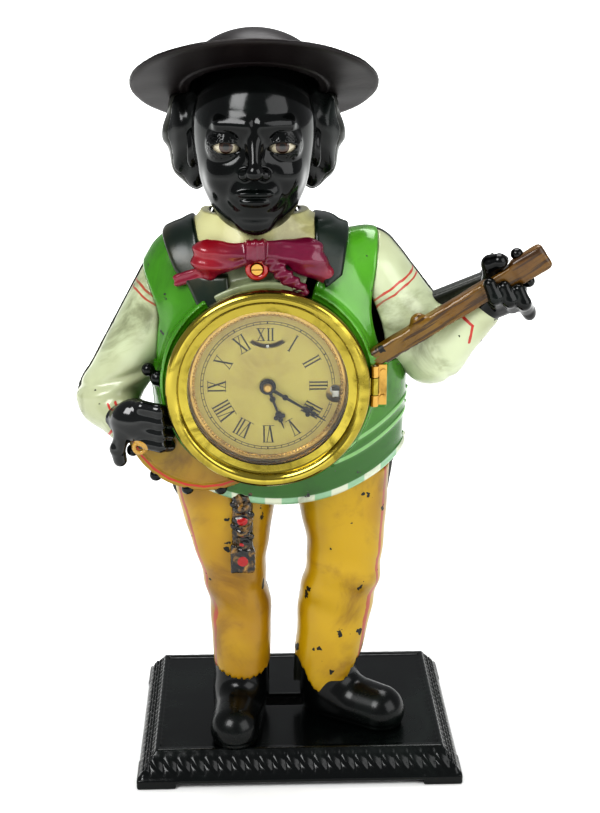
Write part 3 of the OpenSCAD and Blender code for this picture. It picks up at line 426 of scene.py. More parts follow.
def waistcoat(p):
    hem = COAT_LOW + ((p[:, 0] - COAT_MIDDLE) / COAT_HALF) ** 2 * COAT_RISE
    region = np.maximum(-vee(p, 9.0), hem - p[:, 2])
    region = np.maximum(region, np.where(p[:, 2] > ARM_JOIN_Z, armholes(p), -9.0))
    body = join(torso(p), drum(p), 3.0)
    arms = np.minimum(left_sleeve_mass(p), right_sleeve_mass(p))
    body = join(body, np.maximum(arms, ARM_JOIN_Z + 4.0 - p[:, 2]), 5.0)
    band = np.exp(-((p[:, 2] - hem - 2.5) / 2.6) ** 2) * 0.9
    stripe = np.exp(-((p[:, 2] - hem - 22.0) / 1.6) ** 2) + np.exp(-((p[:, 2] - hem - 30.0) / 1.4) ** 2)
    stripe = stripe * 0.45 * (p[:, 0] > 18.0)
    d = both(body - 1.3 - band - stripe + 0.25 * ripple(p, 11.0, 2.0), region, 1.6)
    d = join(d, np.maximum(block(p, (38.2, -27.0, 228.5), (8.4, 12.1, 14.4), 1.0), -SEAT_D - p[:, 1]), 1.5)
    d = np.maximum(d, p[:, 2] - 311.0)
    d = cut(cut(d, hollow(p)), dial_well(p))
    return front_half(p, d)


def loop(p, inner, outer, deep, puff):
    """One puffed half of the bow, narrow at the knot."""
    under = (outer[0], outer[1] - 1, outer[2] - 4)
    d = join(limb(p, inner, outer, 3.6, puff, deep), limb(p, inner, under, 3.0, puff * 0.85, deep), 3.0)
    folds = np.sin((p[:, 2] - inner[2]) * 0.75 + (p[:, 0] - inner[0]) * 0.10) * 0.55
    return d + folds


def bow(p):
    """The bow tie: two puffed halves, a knot and two tails."""
    left = loop(p, (-27, -37, 298.5), (-45, -33.5, 295.5), 0.7, 9.2)
    right = loop(p, (-16, -37, 298.5), (5, -33.5, 296), 0.7, 8.2)
    right = join(right, limb(p, (4, -34, 294), (14, -32.5, 285), 6.6, 5.2, 0.75), 4.0)
    knot = block(p, (-21.5, -39, 299), (5.2, 3.6, 5.6), 2.4)
    knot = knot + 0.35 * np.sin(p[:, 0] * 1.5)
    tails = limb(p, (-25, -38.5, 294), (-61, -29.5, 281.5), 3.0, 3.4, 0.62)
    tails = join(tails, limb(p, (-17, -38.5, 295), (1, -37.2, 277), 2.8, 4.6, 0.62), 1.5)
    tails = tails + 0.30 * np.sin(p[:, 2] * 1.3 - p[:, 0] * 0.5)
    d = join(join(join(left, right, 1.5), knot, 1.6), tails, 1.2)
    d = d + 0.25 * ripple(p, 3.0, 1.0)
    return cut(d, dial_well(p), 0.6)


def left_sleeve_mass(p, grow=0.0):
    d = limb(p, (-60, -4, 283), (-100, -8, 218), 19.0 + grow, 15.5 + grow, 1.0)
    d = join(d, egg(p, (-103.5, -9, 211), (15.6 + grow, 16.5 + grow, 14 + grow)), 7.0)
    d = join(d, limb(p, (-103, -11, 208), (-93, -27, 204), 12.5 + grow, 11.0 + grow), 6.0)
    return d


def right_sleeve_mass(p, grow=0.0):
    d = limb(p, (37, -4, 285), (64, -9, 250), 18.0 + grow, 18.5 + grow)
    d = join(d, egg(p, (72, -11, 238), (17.5 + grow, 17 + grow, 19.5 + grow)), 9.0)
    d = join(d, limb(p, (77, -14, 240), (96, -26, 262), 15.5 + grow, 10.5 + grow), 7.0)
    return join(d, limb(p, (42, -10, 280), (54, -12, 246), 15.0 + grow, 14.0 + grow), 5.0)


def sleeves(p):
    left = left_sleeve_mass(p)
    left = left + 1.1 * np.exp(-((p[:, 2] - 224 - (p[:, 0] + 100) * 0.35) / 2.4) ** 2) * (p[:, 1] < 0)
    left = left - 0.9 * np.exp(-((p[:, 2] - 220 - (p[:, 0] + 100) * 0.30) / 3.0) ** 2)
    right = right_sleeve_mass(p)
    right = right + 0.8 * np.exp(-((p[:, 0] - 74 + (p[:, 2] - 240) * 0.5) / 2.5) ** 2) * (p[:, 2] < 245)
    d = join(left, right) + 0.35 * ripple(p, 8.0, 4.0)
    d = cut(cut(d, torso(p, -1.0)), armholes(p))
    return front_half(p, cut(d, drum(p, -2.0)))


def finger(p, points, radius):
    """A finger that thins along its joints."""
    d = None
    for k, (a, b) in enumerate(zip(points, points[1:])):
        part = limb(p, a, b, radius * (1.0 - 0.07 * k), radius * (0.93 - 0.07 * k))
        d = part if d is None else join(d, part, 1.2)
    return d


def left_hand(p):
    """The hand over the drum, with a small ring beside its thumb."""
    d = egg(p, (-86, -37, 208), (12.5, 8.5, 11.5))
    d = join(d, limb(p, (-94, -28, 205), (-88, -35, 207), 9.6, 9.0), 4.0)
    for k in range(4):
        z = 216 - k * 6.4
        d = join(d, finger(p, [(-82, -41, z), (-73, -42.5, z - 1.5), (-68.5, -38.5, z - 3)], 3.9), 2.0)
    d = join(d, finger(p, [(-93, -38, 200), (-96, -38, 192), (-95, -36, 185)], 4.3), 3.0)
    ring = np.hypot(np.hypot(p[:, 0] + 84.0, p[:, 2] - 194.0) - 3.0, p[:, 1] + 41.5) - 1.2
    return join(d, ring, 0.4)


def right_hand(p):
    """The hand that grips the neck."""
    d = egg(p, (107, -30, 275), (12.5, 8.0, 13))
    d = join(d, limb(p, (98, -27, 265), (104, -29, 271), 9.0, 9.0), 4.0)
    for k in range(3):
        x = 119 - k * 7.5
        d = join(d, finger(p, [(x, -35, 266 + k * 1.5), (x - 3.0, -42.5, 271 + k * 1.5),
                               (x - 6.0, -41.5, 278 + k * 1.5)], 3.9), 2.0)
    d = join(d, finger(p, [(101, -31, 283), (99, -34.5, 290), (103, -37.5, 292)], 5.0), 3.0)
    return join(d, egg(p, (121, -32, 263), (3.5, 4.5, 4)), 3.0)


DRUM_MID = (-50.0, 0.0, 209.0)
NECK_A = np.array([22.0, -35.5, 228.6])
NECK_B = np.array([126.0, -35.5, 294.5])
NECK_TURN = math.atan2(NECK_B[2] - NECK_A[2], NECK_B[0] - NECK_A[0])


def banjo_drum(p):
    """The part of the drum that shows below the dial and the hand."""
    d = disc(p, DRUM_MID, 42.5, -36.0, -27.0, 1.2)
    groove = np.abs(np.hypot(p[:, 0] - DRUM_MID[0], p[:, 2] - DRUM_MID[2]) - 38.0) - 0.5
    d = cut(d, np.maximum(groove, p[:, 1] + 35.4), 0.4)
    d = cut(cut(d, dial_well(p)), hollow(p))
    return np.maximum(d + 0.15 * ripple(p, 5.0), p[:, 2] - 207.0)


def neck_span(p):
    """Distance along the neck and across it."""
    q = p - NECK_A
    c, s = math.cos(NECK_TURN), math.sin(NECK_TURN)
    return c * q[:, 0] + s * q[:, 2], -s * q[:, 0] + c * q[:, 2]


def banjo_neck(p):
    """The neck with its strings, a swelling and the peg head."""
    along, across = neck_span(p)
    d = block(p, (NECK_A + NECK_B) / 2, (60.5, 4.0, 5.0), 1.3, NECK_TURN)
    strings = 0.5 * np.abs(np.sin(across * 1.9)) * (p[:, 1] < -37.0)
    d = d + strings * (along < 88)
    d = join(d, egg(p, (62.5, -36, 259.5), (4.4, 3.8, 5.0)), 2.5)
    head = block(p, (119.5, -36.5, 290.3), (9.5, 3.6, 7.0), 2.4, NECK_TURN)
    d = join(d, head, 2.0)
    return cut(cut(d, dial_well(p)), hollow(p)) + 0.15 * ripple(p, 2.4)


def banjo_pegs(p):
    """The pegs, the hooks round the drum and the knobs above the hand."""
    d = None
    for t, off in [(96, 8.5), (104, 9.0), (112, 8.0), (101, -8.5), (110, -8.0)]:
        c, s = math.cos(NECK_TURN), math.sin(NECK_TURN)
        mid = (NECK_A[0] + c * t - s * off, -35.0, NECK_A[2] + s * t + c * off)
        part = egg(p, mid, (3.3, 3.2, 3.1))
        d = part if d is None else join(d, part, 1.5)
    for angle in (207, 232, 257, 281):
        a = math.radians(angle)
        mid = (DRUM_MID[0] + 43.0 * math.cos(a), -33.0, DRUM_MID[2] + 43.0 * math.sin(a))
        d = join(d, ball(p, mid, 3.4))
    for x, z, r in ((-79, 233, 3.6), (-74, 228, 4.2), (-70, 223, 3.4)):
        d = join(d, ball(p, (x, -28.5, z), r), 1.5)
    return cut(d, dial_well(p))


def shoe(p, heel, toe, wide):
    """One shoe with its welt."""
    d = limb(p, heel, toe, wide, wide * 0.92)
    low = np.array(heel) + (0, 0, 9)
    d = join(d, limb(p, low, (low[0], low[1] + 2, 54), wide + 0.5, wide + 0.4, 1.12), 7.0)
    sole = np.abs(p[:, 2] - FLOOR_Z - 2.8)
    d = d + 0.5 * np.exp(-(sole / 0.7) ** 2)
    return d


def shoes(p):
    left = shoe(p, (-32.5, -9, FLOOR_Z + 8), (-36, -44, FLOOR_Z + 7.0), 15.0)
    right = shoe(p, (18.5, -8, FLOOR_Z + 8), (47, -27, FLOOR_Z + 7.5), 15.5)
    d = np.maximum(join(left, right), FLOOR_Z - p[:, 2])
    return front_half(p, both(d, p[:, 2] - 58.0, 2.0))


def fob(p):
    """A watch fob of linked stones on a plain strip."""
    d = block(p, (-30.5, -28.5, 122.5), (6.6, 3.4, 7.2), 1.2)
    d = join(d, block(p, (-30.5, -27.5, 140), (5.6, 3.0, 22), 1.0), 1.0)
    for z, r in [(160, 5.8), (153.5, 5.2), (146, 5.6), (139, 5.2), (132.5, 5.0)]:
        d = join(d, egg(p, (-30.5, -28.0 + (z - 140) * -0.05, z), (r, 4.2, 4.2)), 1.0)
    for k in range(6):
        d = join(d, ball(p, (-30.5 + 4.6 * (-1) ** k, -30.8, 163 - k * 6.4), 1.9), 0.5)
    return np.maximum(d + 0.35 * ripple(p, 1.3), -legs(p, -1.0))


BACK_TAIL = [(-66, 240), (52, 240), (50, 160), (20, 150), (-10, 147), (-45, 152), (-66, 166)]
CASE_SCREWS = [(-58, 184), (34, 182), (-48, 288)]


def back_mass(p):
    """The trunk, legs, arms and coat tails of the back casting, hollowed."""
    trunk = np.maximum(torso(p, 1.0), p[:, 2] - 309.0)
    d = join(trunk, np.maximum(legs(p), p[:, 2] - 184.0), 4.0)
    d = np.maximum(d, 30.0 - p[:, 2])
    d = join(d, left_sleeve_mass(p), 3.0)
    d = join(d, right_sleeve_mass(p), 3.0)
    d = join(d, limb(p, (HEAD_X, -6, 318), (HEAD_X, -4, 296), 21, 26), 6.0)
    heel = join(limb(p, (-32.5, -4, FLOOR_Z + 9), (-32.5, -4, 40), 15, 16),
                limb(p, (18.5, -4, FLOOR_Z + 9), (18.5, -4, 40), 16, 16.5))
    d = join(d, heel, 2.0)
    tail = outline(p[:, 0], p[:, 2], BACK_TAIL)
    d = join(d, both(torso(p, 2.6), tail, 2.0), 1.0)
    seam = np.exp(-((p[:, 0] + 11) / 0.8) ** 2) * 0.7 * (p[:, 2] > 150)
    d = d + seam + 0.3 * ripple(p, 10.0, 3.0)
    d = cut(d, np.maximum(hollow(p), FLOOR_Z - p[:, 2] + 14.0))
    for x, z in CASE_SCREWS:
        d = join(d, disc(p, (x, 0, z), 6.5, 0.0, 22.0), 1.5)
    d = cut(d, join(skull(p, -HEAD_WALL), throat(p)))
    return both(d, under_hat(p))


def back_casting(p):
    """Everything behind the parting of the two castings."""
    d = join(back_mass(p), hair_mass(p), 1.5)
    neck = join(skull(p), hair_mass(p))
    d = join(d, cut(both(neck, under_hat(p)), skull(p, -HEAD_WALL)))
    d = np.maximum(d, -p[:, 1])
    return np.maximum(d, FLOOR_Z - p[:, 2])


# outline of the dark web behind the banjo's neck, partly painted shade between the neck and the raised arm
NECK_WEB = [(60, 262), (68, 267), (98, 279), (104, 290), (110, 285), (100, 262), (78, 248)]


def arm_backs(p):
    """The dark rear edge of the front casting along the neck and the raised arm: dark paint of the edge, with
    painted shade along the parting line and in the web behind the banjo's neck.
    """
    web = outline(p[:, 0], p[:, 2], NECK_WEB)
    d = both(web, np.abs(p[:, 1] + 10.0) - 5.0, 3.0)
    rim = np.minimum(left_sleeve_mass(p, 0.9), right_sleeve_mass(p, 0.9))
    rim = np.maximum(rim, np.abs(p[:, 1] + 2.6) - 2.4)
    d = join(d, rim, 1.0)
    return front_half(p, cut(d, torso(p, -1.0)))


def shoulder_rim(p):
    """The thin dark edge where the two castings meet over the shoulders: dark paint of the edge, with painted
    shade along the parting line.
    """
    d = np.maximum(torso(p, 1.9), np.abs(p[:, 1] + 1.6) - 1.5)
    return cut(np.maximum(d, 170.0 - p[:, 2]), hollow(p))


PLINTH_SIDE = [(-60, 2.4), (-0.2, 2.4), (0, 5.0), (-1.4, 7.4), (-10.2, TOP_Z - 0.9), (-11.6, TOP_Z - 0.2),
               (-13.3, TOP_Z - 0.4), (-13.7, FLOOR_Z + 0.2), (-16.4, FLOOR_Z), (-17.0, FLOOR_Z),
               (-60, FLOOR_Z)]
LEAF_PITCH = 7.6
PLINTH_CORNER = 4.0
PLINTH_SCREW_X = (-38, -26, 12, 26)
PLINTH_SCREW_Y = -6.0


def plinth(p):
    """The hollow plinth with leaves in front and behind and a rope pattern at the ends."""
    ax, ay = np.abs(p[:, 0]), np.abs(p[:, 1])
    u = np.maximum(ax - HALF_W, ay - HALF_D)
    e = np.stack([ax - HALF_W + PLINTH_CORNER, ay - HALF_D + PLINTH_CORNER], axis=1)
    u = np.where((e > 0).all(axis=1), np.hypot(e[:, 0], e[:, 1]) - PLINTH_CORNER, u)
    d = outline(u, p[:, 2], PLINTH_SIDE)
    front = ay - HALF_D > ax - HALF_W
    slope = np.exp(-((p[:, 2] - 12.6) / 4.6) ** 4)
    leaf = np.abs(np.sin(p[:, 0] * math.pi / LEAF_PITCH)) ** 0.6
    leaf = leaf + 0.35 * np.sin(p[:, 0] * math.pi / (LEAF_PITCH / 2) + p[:, 2] * 0.9)
    rope = np.sin(p[:, 1] * 1.30 + p[:, 2] * 0.75) + 0.5 * np.sin(p[:, 1] * 2.6 - p[:, 2] * 1.1)
    lift = np.where(front, leaf * 1.0 - 0.6, rope * 0.55)
    d = (d + 0.55 - lift * slope * (u > -14)) * 0.8
    line = np.abs(u + 15.6) - 0.5
    d = cut(d, np.maximum(line, FLOOR_Z - 0.5 - p[:, 2]), 0.3)
    for sx in (-1, 1):
        for sy in (-1, 1):
            foot = block(p, (sx * (HALF_W - 11.2), sy * (HALF_D - 11.2), 3.0), (10.9, 10.9, 3.0), 1.2)
            d = join(d, foot, 0.8)
    inner = block(p, (0, 0, 4.0), (HALF_W - 14.5, HALF_D - 14.5, 11.0), 1.0)
    inner = join(inner, block(p, (0, 0, -1.0), (HALF_W - 3.8, HALF_D - 3.8, 6.0), 1.0))
    d = cut(d, inner)
    for x in PLINTH_SCREW_X:
        d = cut(d, np.hypot(p[:, 0] - x, p[:, 1] - PLINTH_SCREW_Y) - 2.1)
    return d


BRIM = [(-1, 0.2), (61, 0.2), (63, 0.6), (63.9, 1.5), (63.6, 2.6), (62, 3.1), (58, 2.4), (-1, 2.4)]


def hat(p):
    """The wide brim and low crown, tilted on the head."""
    c, s = math.cos(HAT_TILT), math.sin(HAT_TILT)
    q = p - HAT_MID
    y, z = c * q[:, 1] - s * q[:, 2], s * q[:, 1] + c * q[:, 2]
    r = np.hypot(q[:, 0], y)
    brim = outline(r, z, BRIM)
    local = np.stack([q[:, 0], y, z], axis=1)
    crown = egg(local, (0, 0, 0), (37, 37, 29.6))
    crown = crown + 0.5 * np.exp(-((z - 6.0) / 0.9) ** 2)
    d = join(brim, np.maximum(crown, -z), 2.2)
    d = cut(d, egg(local, (0, 0, 0), (33.1, 33.1, 26.4)))
    d = cut(d, np.maximum(np.hypot(q[:, 0], y + 14) - 2.0, z - 26.4))
    return d + 0.10 * ripple(p, 7.0)


# ---------- meshes from fields ----------

def chunks(field, points, size=400000):
    """Evaluates a field a part at a time, to spare memory."""
    return np.concatenate([field(points[i:i + size]) for i in range(0, len(points), size)])


def skin(field, low, high, cell, seed_step=6):
    """A closed quad mesh of a field's zero level, by surface nets on the cells near it."""
    low = np.array(low, np.float32)
    dims = (np.ceil((np.array(high) - low) / (cell * seed_step)).astype(int)) * seed_step
    blocks = dims // seed_step
    grid = np.indices(blocks).reshape(3, -1).T.astype(np.float32)
    centres = low + (grid + 0.5) * seed_step * cell
    rough = chunks(field, centres).reshape(blocks)
    near = np.abs(rough) < seed_step * cell * 1.5
    values = np.repeat(np.repeat(np.repeat(rough, seed_step, 0), seed_step, 1), seed_step,
                       2).astype(np.float32)
    mask = np.repeat(np.repeat(np.repeat(near, seed_step, 0), seed_step, 1), seed_step, 2)
    index = np.argwhere(mask)
    values[mask] = chunks(field, low + index.astype(np.float32) * cell)
    inside = values < 0
    for axis in range(3):
        edge = [slice(None)] * 3
        for end in (0, -1):
            edge[axis] = end
            inside[tuple(edge)] = False
            values[tuple(edge)] = np.maximum(values[tuple(edge)], 0.01)
    cells, where, quads = [], [], []
    stride = np.array([dims[1] * dims[2], dims[2], 1])
    for axis in range(3):
        first, second = [slice(None)] * 3, [slice(None)] * 3
        first[axis], second[axis] = slice(0, -1), slice(1, None)
        cross = np.argwhere(inside[tuple(first)] != inside[tuple(second)])
        a = values[tuple(cross.T)]
        step = np.zeros(3, int)
        step[axis] = 1
        b = values[tuple((cross + step).T)]
        spot = cross.astype(np.float64)
        spot[:, axis] += a / (a - b)
        u, v = (axis + 1) % 3, (axis + 2) % 3
        base = cross @ stride
        ring = np.stack([base - stride[u] - stride[v], base - stride[v], base, base - stride[u]], axis=1)
        flip = a >= 0
        ring[flip] = ring[flip][:, ::-1]
        quads.append(ring)
        cells.append(ring.reshape(-1))
        where.append(np.repeat(spot, 4, axis=0))
    cells, where = np.concatenate(cells), np.concatenate(where)
    quads = np.concatenate(quads)
    unique, inverse = np.unique(cells, return_inverse=True)
    count = np.bincount(inverse)
    points = np.stack([np.bincount(inverse, weights=where[:, k]) / count for k in range(3)], axis=1)
    points = (low + points * cell).astype(np.float32)
    faces = np.searchsorted(unique, quads)
    h = cell * 0.4
    for _ in range(2):
        here = chunks(field, points)
        slope = np.stack([chunks(field, points + np.eye(3, dtype=np.float32)[k] * h) - here
                          for k in range(3)], axis=1) / h
        size = np.maximum((slope * slope).sum(axis=1), 0.2)
        move = -(here / size)[:, None] * slope
        reach = np.minimum(1.0, 0.45 * cell / np.maximum(length(move), 1e-6))
        points = (points + move * reach[:, None]).astype(np.float32)
    return points, faces


def mesh_object(name, points, faces, smooth=True):
    """A mesh piece in metres in the row's frame from millimetre points about the plinth's centre."""
    data = bpy.data.meshes.new(name)
    where = (np.asarray(points, np.float32) + np.array([BASE_X, 0, 0], np.float32)) * MM
    # nothing may reach past the box of the CAD model
    where = np.clip(where, np.array(CAD_BOX[0], np.float32), np.array(CAD_BOX[1], np.float32))
    faces = np.asarray(faces, np.int32)
    sides = faces.shape[1]
    data.vertices.add(len(where))
    data.vertices.foreach_set("co", where.reshape(-1))
    data.loops.add(faces.size)
    data.loops.foreach_set("vertex_index", faces.reshape(-1))
    data.polygons.add(len(faces))
    data.polygons.foreach_set("loop_start", np.arange(0, faces.size, sides, dtype=np.int32))
    data.update(calc_edges=True)
    data.validate()
    data.polygons.foreach_set("use_smooth", np.full(len(faces), smooth))
    obj = bpy.data.objects.new(name, data)
    bpy.context.scene.collection.objects.link(obj)
    return obj


def cast(name, field, low, high, cell, material, nodes):
    """One painted region of a casting, in place and riding on the case."""
    coarse = 1.0
    obj = mesh_object(name, *skin(field, low, high, cell * coarse * bpy.context.scene.clock_sizes.cell))
    obj.data.materials.append(material)
    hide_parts(*nodes)
    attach(obj, "case")
    return obj


# ---------- shader node groups ----------

def socketed(name, inputs, outputs):
    """A new shader node group with named sockets."""
    tree = bpy.data.node_groups.new(name, "ShaderNodeTree")
    kinds = {"value": "NodeSocketFloat", "vector": "NodeSocketVector"}
    for label, kind, start in inputs:
        item = tree.interface.new_socket(label, in_out="INPUT", socket_type=kinds[kind])
        item.default_value = start
    for label, kind in outputs:
        tree.interface.new_socket(label, in_out="OUTPUT", socket_type=kinds[kind])
    return tree, tree.nodes.new("NodeGroupInput"), tree.nodes.new("NodeGroupOutput")


def wire(tree, source, target):
    tree.links.new(source, target)


def maths(tree, kind, a, b=None, c=None):
    """Places a Math node and returns its output."""
    node = tree.nodes.new("ShaderNodeMath")
    node.operation = kind
    for slot, value in zip(node.inputs, (a, b, c)):
        if value is None:
            continue
        if isinstance(value, (int, float)):
            slot.default_value = value
        else:
            wire(tree, value, slot)
    return node.outputs[0]


def vmaths(tree, kind, a, b=None, out=0):
    """Places a Vector Math node and returns one output."""
    node = tree.nodes.new("ShaderNodeVectorMath")
    node.operation = kind
    for slot, value in zip(node.inputs, (a, b)):
        if value is None:
            continue
        if isinstance(value, (tuple, list)):
            slot.default_value = value
        else:
            wire(tree, value, slot)
    return node.outputs[out]


def noise(tree, vector, scale, detail=4.0, rough=0.55, distortion=0.0):
    """Places a Noise Texture and returns its value."""
    node = tree.nodes.new("ShaderNodeTexNoise")
    for label, value in (("Scale", scale), ("Detail", detail), ("Roughness", rough),
                         ("Distortion", distortion)):
        if isinstance(value, (int, float)):
            node.inputs[label].default_value = value
        else:
            wire(tree, value, node.inputs[label])
    wire(tree, vector, node.inputs["Vector"])
    return node.outputs["Fac"]


def steps(tree, value, low, high):
    """A smooth step from low to high."""
    node = tree.nodes.new("ShaderNodeMapRange")
    node.interpolation_type = "SMOOTHSTEP"
    node.clamp = True
    wire(tree, value, node.inputs["Value"])
    for label, limit in (("From Min", low), ("From Max", high)):
        if isinstance(limit, (int, float)):
            node.inputs[label].default_value = limit
        else:
            wire(tree, limit, node.inputs[label])
    return node.outputs["Result"]


def wear_group():
    """Chips, grime and fine relief of old cold-painted iron."""
    tree, start, end = socketed("Cast Wear", [("Chip Size", "value", 90.0), ("Chip Amount", "value", 0.3),
                                              ("Grime Size", "value", 30.0), ("Seed", "value", 0.0)],
                                [("Chips", "value"), ("Grime", "value"), ("Tone", "value"),
                                 ("Relief", "value")])
    place = tree.nodes.new("ShaderNodeTexCoord").outputs["Object"]
    combine = tree.nodes.new("ShaderNodeCombineXYZ")
    for k in range(3):
        wire(tree, start.outputs["Seed"], combine.inputs[k])
    spot = vmaths(tree, "ADD", place, combine.outputs[0])
    chips = noise(tree, spot, start.outputs["Chip Size"], 3.0, 0.6)
    fine = noise(tree, spot, 420.0, 2.0, 0.5)
    mixed = maths(tree, "ADD", chips, maths(tree, "MULTIPLY", maths(tree, "SUBTRACT", fine, 0.5), 0.10))
    limit = maths(tree, "SUBTRACT", 0.80, maths(tree, "MULTIPLY", start.outputs["Chip Amount"], 0.22))
    wire(tree, steps(tree, mixed, limit, maths(tree, "ADD", limit, 0.012)), end.inputs["Chips"])
    grime = noise(tree, spot, start.outputs["Grime Size"], 6.0, 0.62, 0.6)
    wire(tree, steps(tree, grime, 0.46, 0.74), end.inputs["Grime"])
    wire(tree, noise(tree, spot, 17.0, 3.0, 0.5), end.inputs["Tone"])
    wire(tree, maths(tree, "ADD", maths(tree, "MULTIPLY", fine, 0.25), maths(tree, "MULTIPLY", grime, 0.75)),
         end.inputs["Relief"])
    return tree


def band_group():
    """A brushed line round a limb, where a plane cuts the surface."""
    tree, start, end = socketed("Brushed Band", [("Point", "vector", (0, 0, 0)),
                                                 ("Direction", "vector", (0, 0, 1)),
                                                 ("Half Width", "value", 0.0006)], [("Mask", "value")])
    place = tree.nodes.new("ShaderNodeTexCoord").outputs["Object"]
    gap = vmaths(tree, "DOT_PRODUCT", vmaths(tree, "SUBTRACT", place, start.outputs["Point"]),
                 start.outputs["Direction"], out=1)
    wobble = maths(tree, "MULTIPLY", maths(tree, "SUBTRACT", noise(tree, place, 70.0, 2.0), 0.5), 0.003)
    gap = maths(tree, "ABSOLUTE", maths(tree, "ADD", gap, wobble))
    uneven = maths(tree, "MULTIPLY", start.outputs["Half Width"],
                   maths(tree, "ADD", noise(tree, place, 160.0, 2.0), 0.5))
    inner = maths(tree, "MULTIPLY", uneven, 0.75)
    wire(tree, maths(tree, "SUBTRACT", 1.0, steps(tree, gap, inner, uneven)), end.inputs["Mask"])
    return tree


def stroke_group():
    """A brush stroke between two points of the front view."""
    tree, start, end = socketed("Brush Stroke", [("From", "vector", (0, 0, 0)), ("To", "vector", (0, 0, 1)),
                                                 ("Radius", "value", 0.001)], [("Mask", "value")])
    place = tree.nodes.new("ShaderNodeTexCoord").outputs["Object"]
    flat = vmaths(tree, "MULTIPLY", place, (1, 0, 1))
    span = vmaths(tree, "SUBTRACT", start.outputs["To"], start.outputs["From"])
    rel = vmaths(tree, "SUBTRACT", flat, start.outputs["From"])
    t = maths(tree, "DIVIDE", vmaths(tree, "DOT_PRODUCT", rel, span, out=1),
              vmaths(tree, "DOT_PRODUCT", span, span, out=1))
    clamp = maths(tree, "MINIMUM", maths(tree, "MAXIMUM", t, 0.0), 1.0)
    scale = tree.nodes.new("ShaderNodeVectorMath")
    scale.operation = "SCALE"
    wire(tree, span, scale.inputs[0])
    wire(tree, clamp, scale.inputs["Scale"])
    gap = vmaths(tree, "LENGTH", vmaths(tree, "SUBTRACT", rel, scale.outputs[0]), out=1)
    uneven = maths(tree, "MULTIPLY", start.outputs["Radius"],
                   maths(tree, "ADD", noise(tree, place, 200.0, 2.0), 0.5))
    inner = maths(tree, "MULTIPLY", uneven, 0.75)
    wire(tree, maths(tree, "SUBTRACT", 1.0, steps(tree, gap, inner, uneven)), end.inputs["Mask"])
    return tree


def spot_group():
    """A round spot, or two of them mirrored about a middle, seen from the front."""
    tree, start, end = socketed("Paired Spot", [("Middle", "vector", (0, 0, 0)), ("Half Gap", "value", 0.0),
                                                ("Radius", "value", 0.001), ("Softness", "value", 0.0003)],
                                [("Mask", "value")])
    place = tree.nodes.new("ShaderNodeTexCoord").outputs["Object"]
    split = tree.nodes.new("ShaderNodeSeparateXYZ")
    wire(tree, vmaths(tree, "SUBTRACT", place, start.outputs["Middle"]), split.inputs[0])
    across = maths(tree, "SUBTRACT", maths(tree, "ABSOLUTE", split.outputs[0]), start.outputs["Half Gap"])
    gap = maths(tree, "SQRT", maths(tree, "ADD", maths(tree, "MULTIPLY", across, across),
                                    maths(tree, "MULTIPLY", split.outputs[2], split.outputs[2])))
    edge = maths(tree, "ADD", start.outputs["Radius"], start.outputs["Softness"])
    away = maths(tree, "SUBTRACT", 1.0, steps(tree, gap, start.outputs["Radius"], edge))
    ahead = maths(tree, "LESS_THAN", split.outputs[1], 0.0)
    wire(tree, maths(tree, "MULTIPLY", away, ahead), end.inputs["Mask"])
    return tree


def hem_group():
    """Height above the waistcoat's curved hem, in millimetres, and blocks along it."""
    tree, start, end = socketed("Hem", [("Middle", "value", 0.0), ("Block", "value", 9.0)],
                                [("Height", "value"), ("Blocks", "value"), ("Right", "value")])
    place = tree.nodes.new("ShaderNodeTexCoord").outputs["Object"]
    split = tree.nodes.new("ShaderNodeSeparateXYZ")
    wire(tree, vmaths(tree, "MULTIPLY", place, (1000.0, 1000.0, 1000.0)), split.inputs[0])
    across = maths(tree, "SUBTRACT", split.outputs[0], start.outputs["Middle"])
    part = maths(tree, "DIVIDE", maths(tree, "SUBTRACT", across, COAT_MIDDLE), COAT_HALF)
    rise = maths(tree, "MULTIPLY", maths(tree, "MULTIPLY", part, part), COAT_RISE)
    hem = maths(tree, "ADD", rise, COAT_LOW)
    wire(tree, maths(tree, "SUBTRACT", split.outputs[2], hem), end.inputs["Height"])
    wave = maths(tree, "SINE", maths(tree, "DIVIDE", across,
                                     maths(tree, "DIVIDE", start.outputs["Block"], math.pi)))
    wire(tree, steps(tree, wave, -0.15, 0.15), end.inputs["Blocks"])
    wire(tree, steps(tree, across, 14.0, 22.0), end.inputs["Right"])
    return tree


WEAR = wear_group()
BAND = band_group()
STROKE = stroke_group()
SPOT = spot_group()
HEM = hem_group()


def placed(point):
    """A millimetre point about the plinth's centre as a place in the row's frame."""
    return ((point[0] + BASE_X) * MM, point[1] * MM, point[2] * MM)


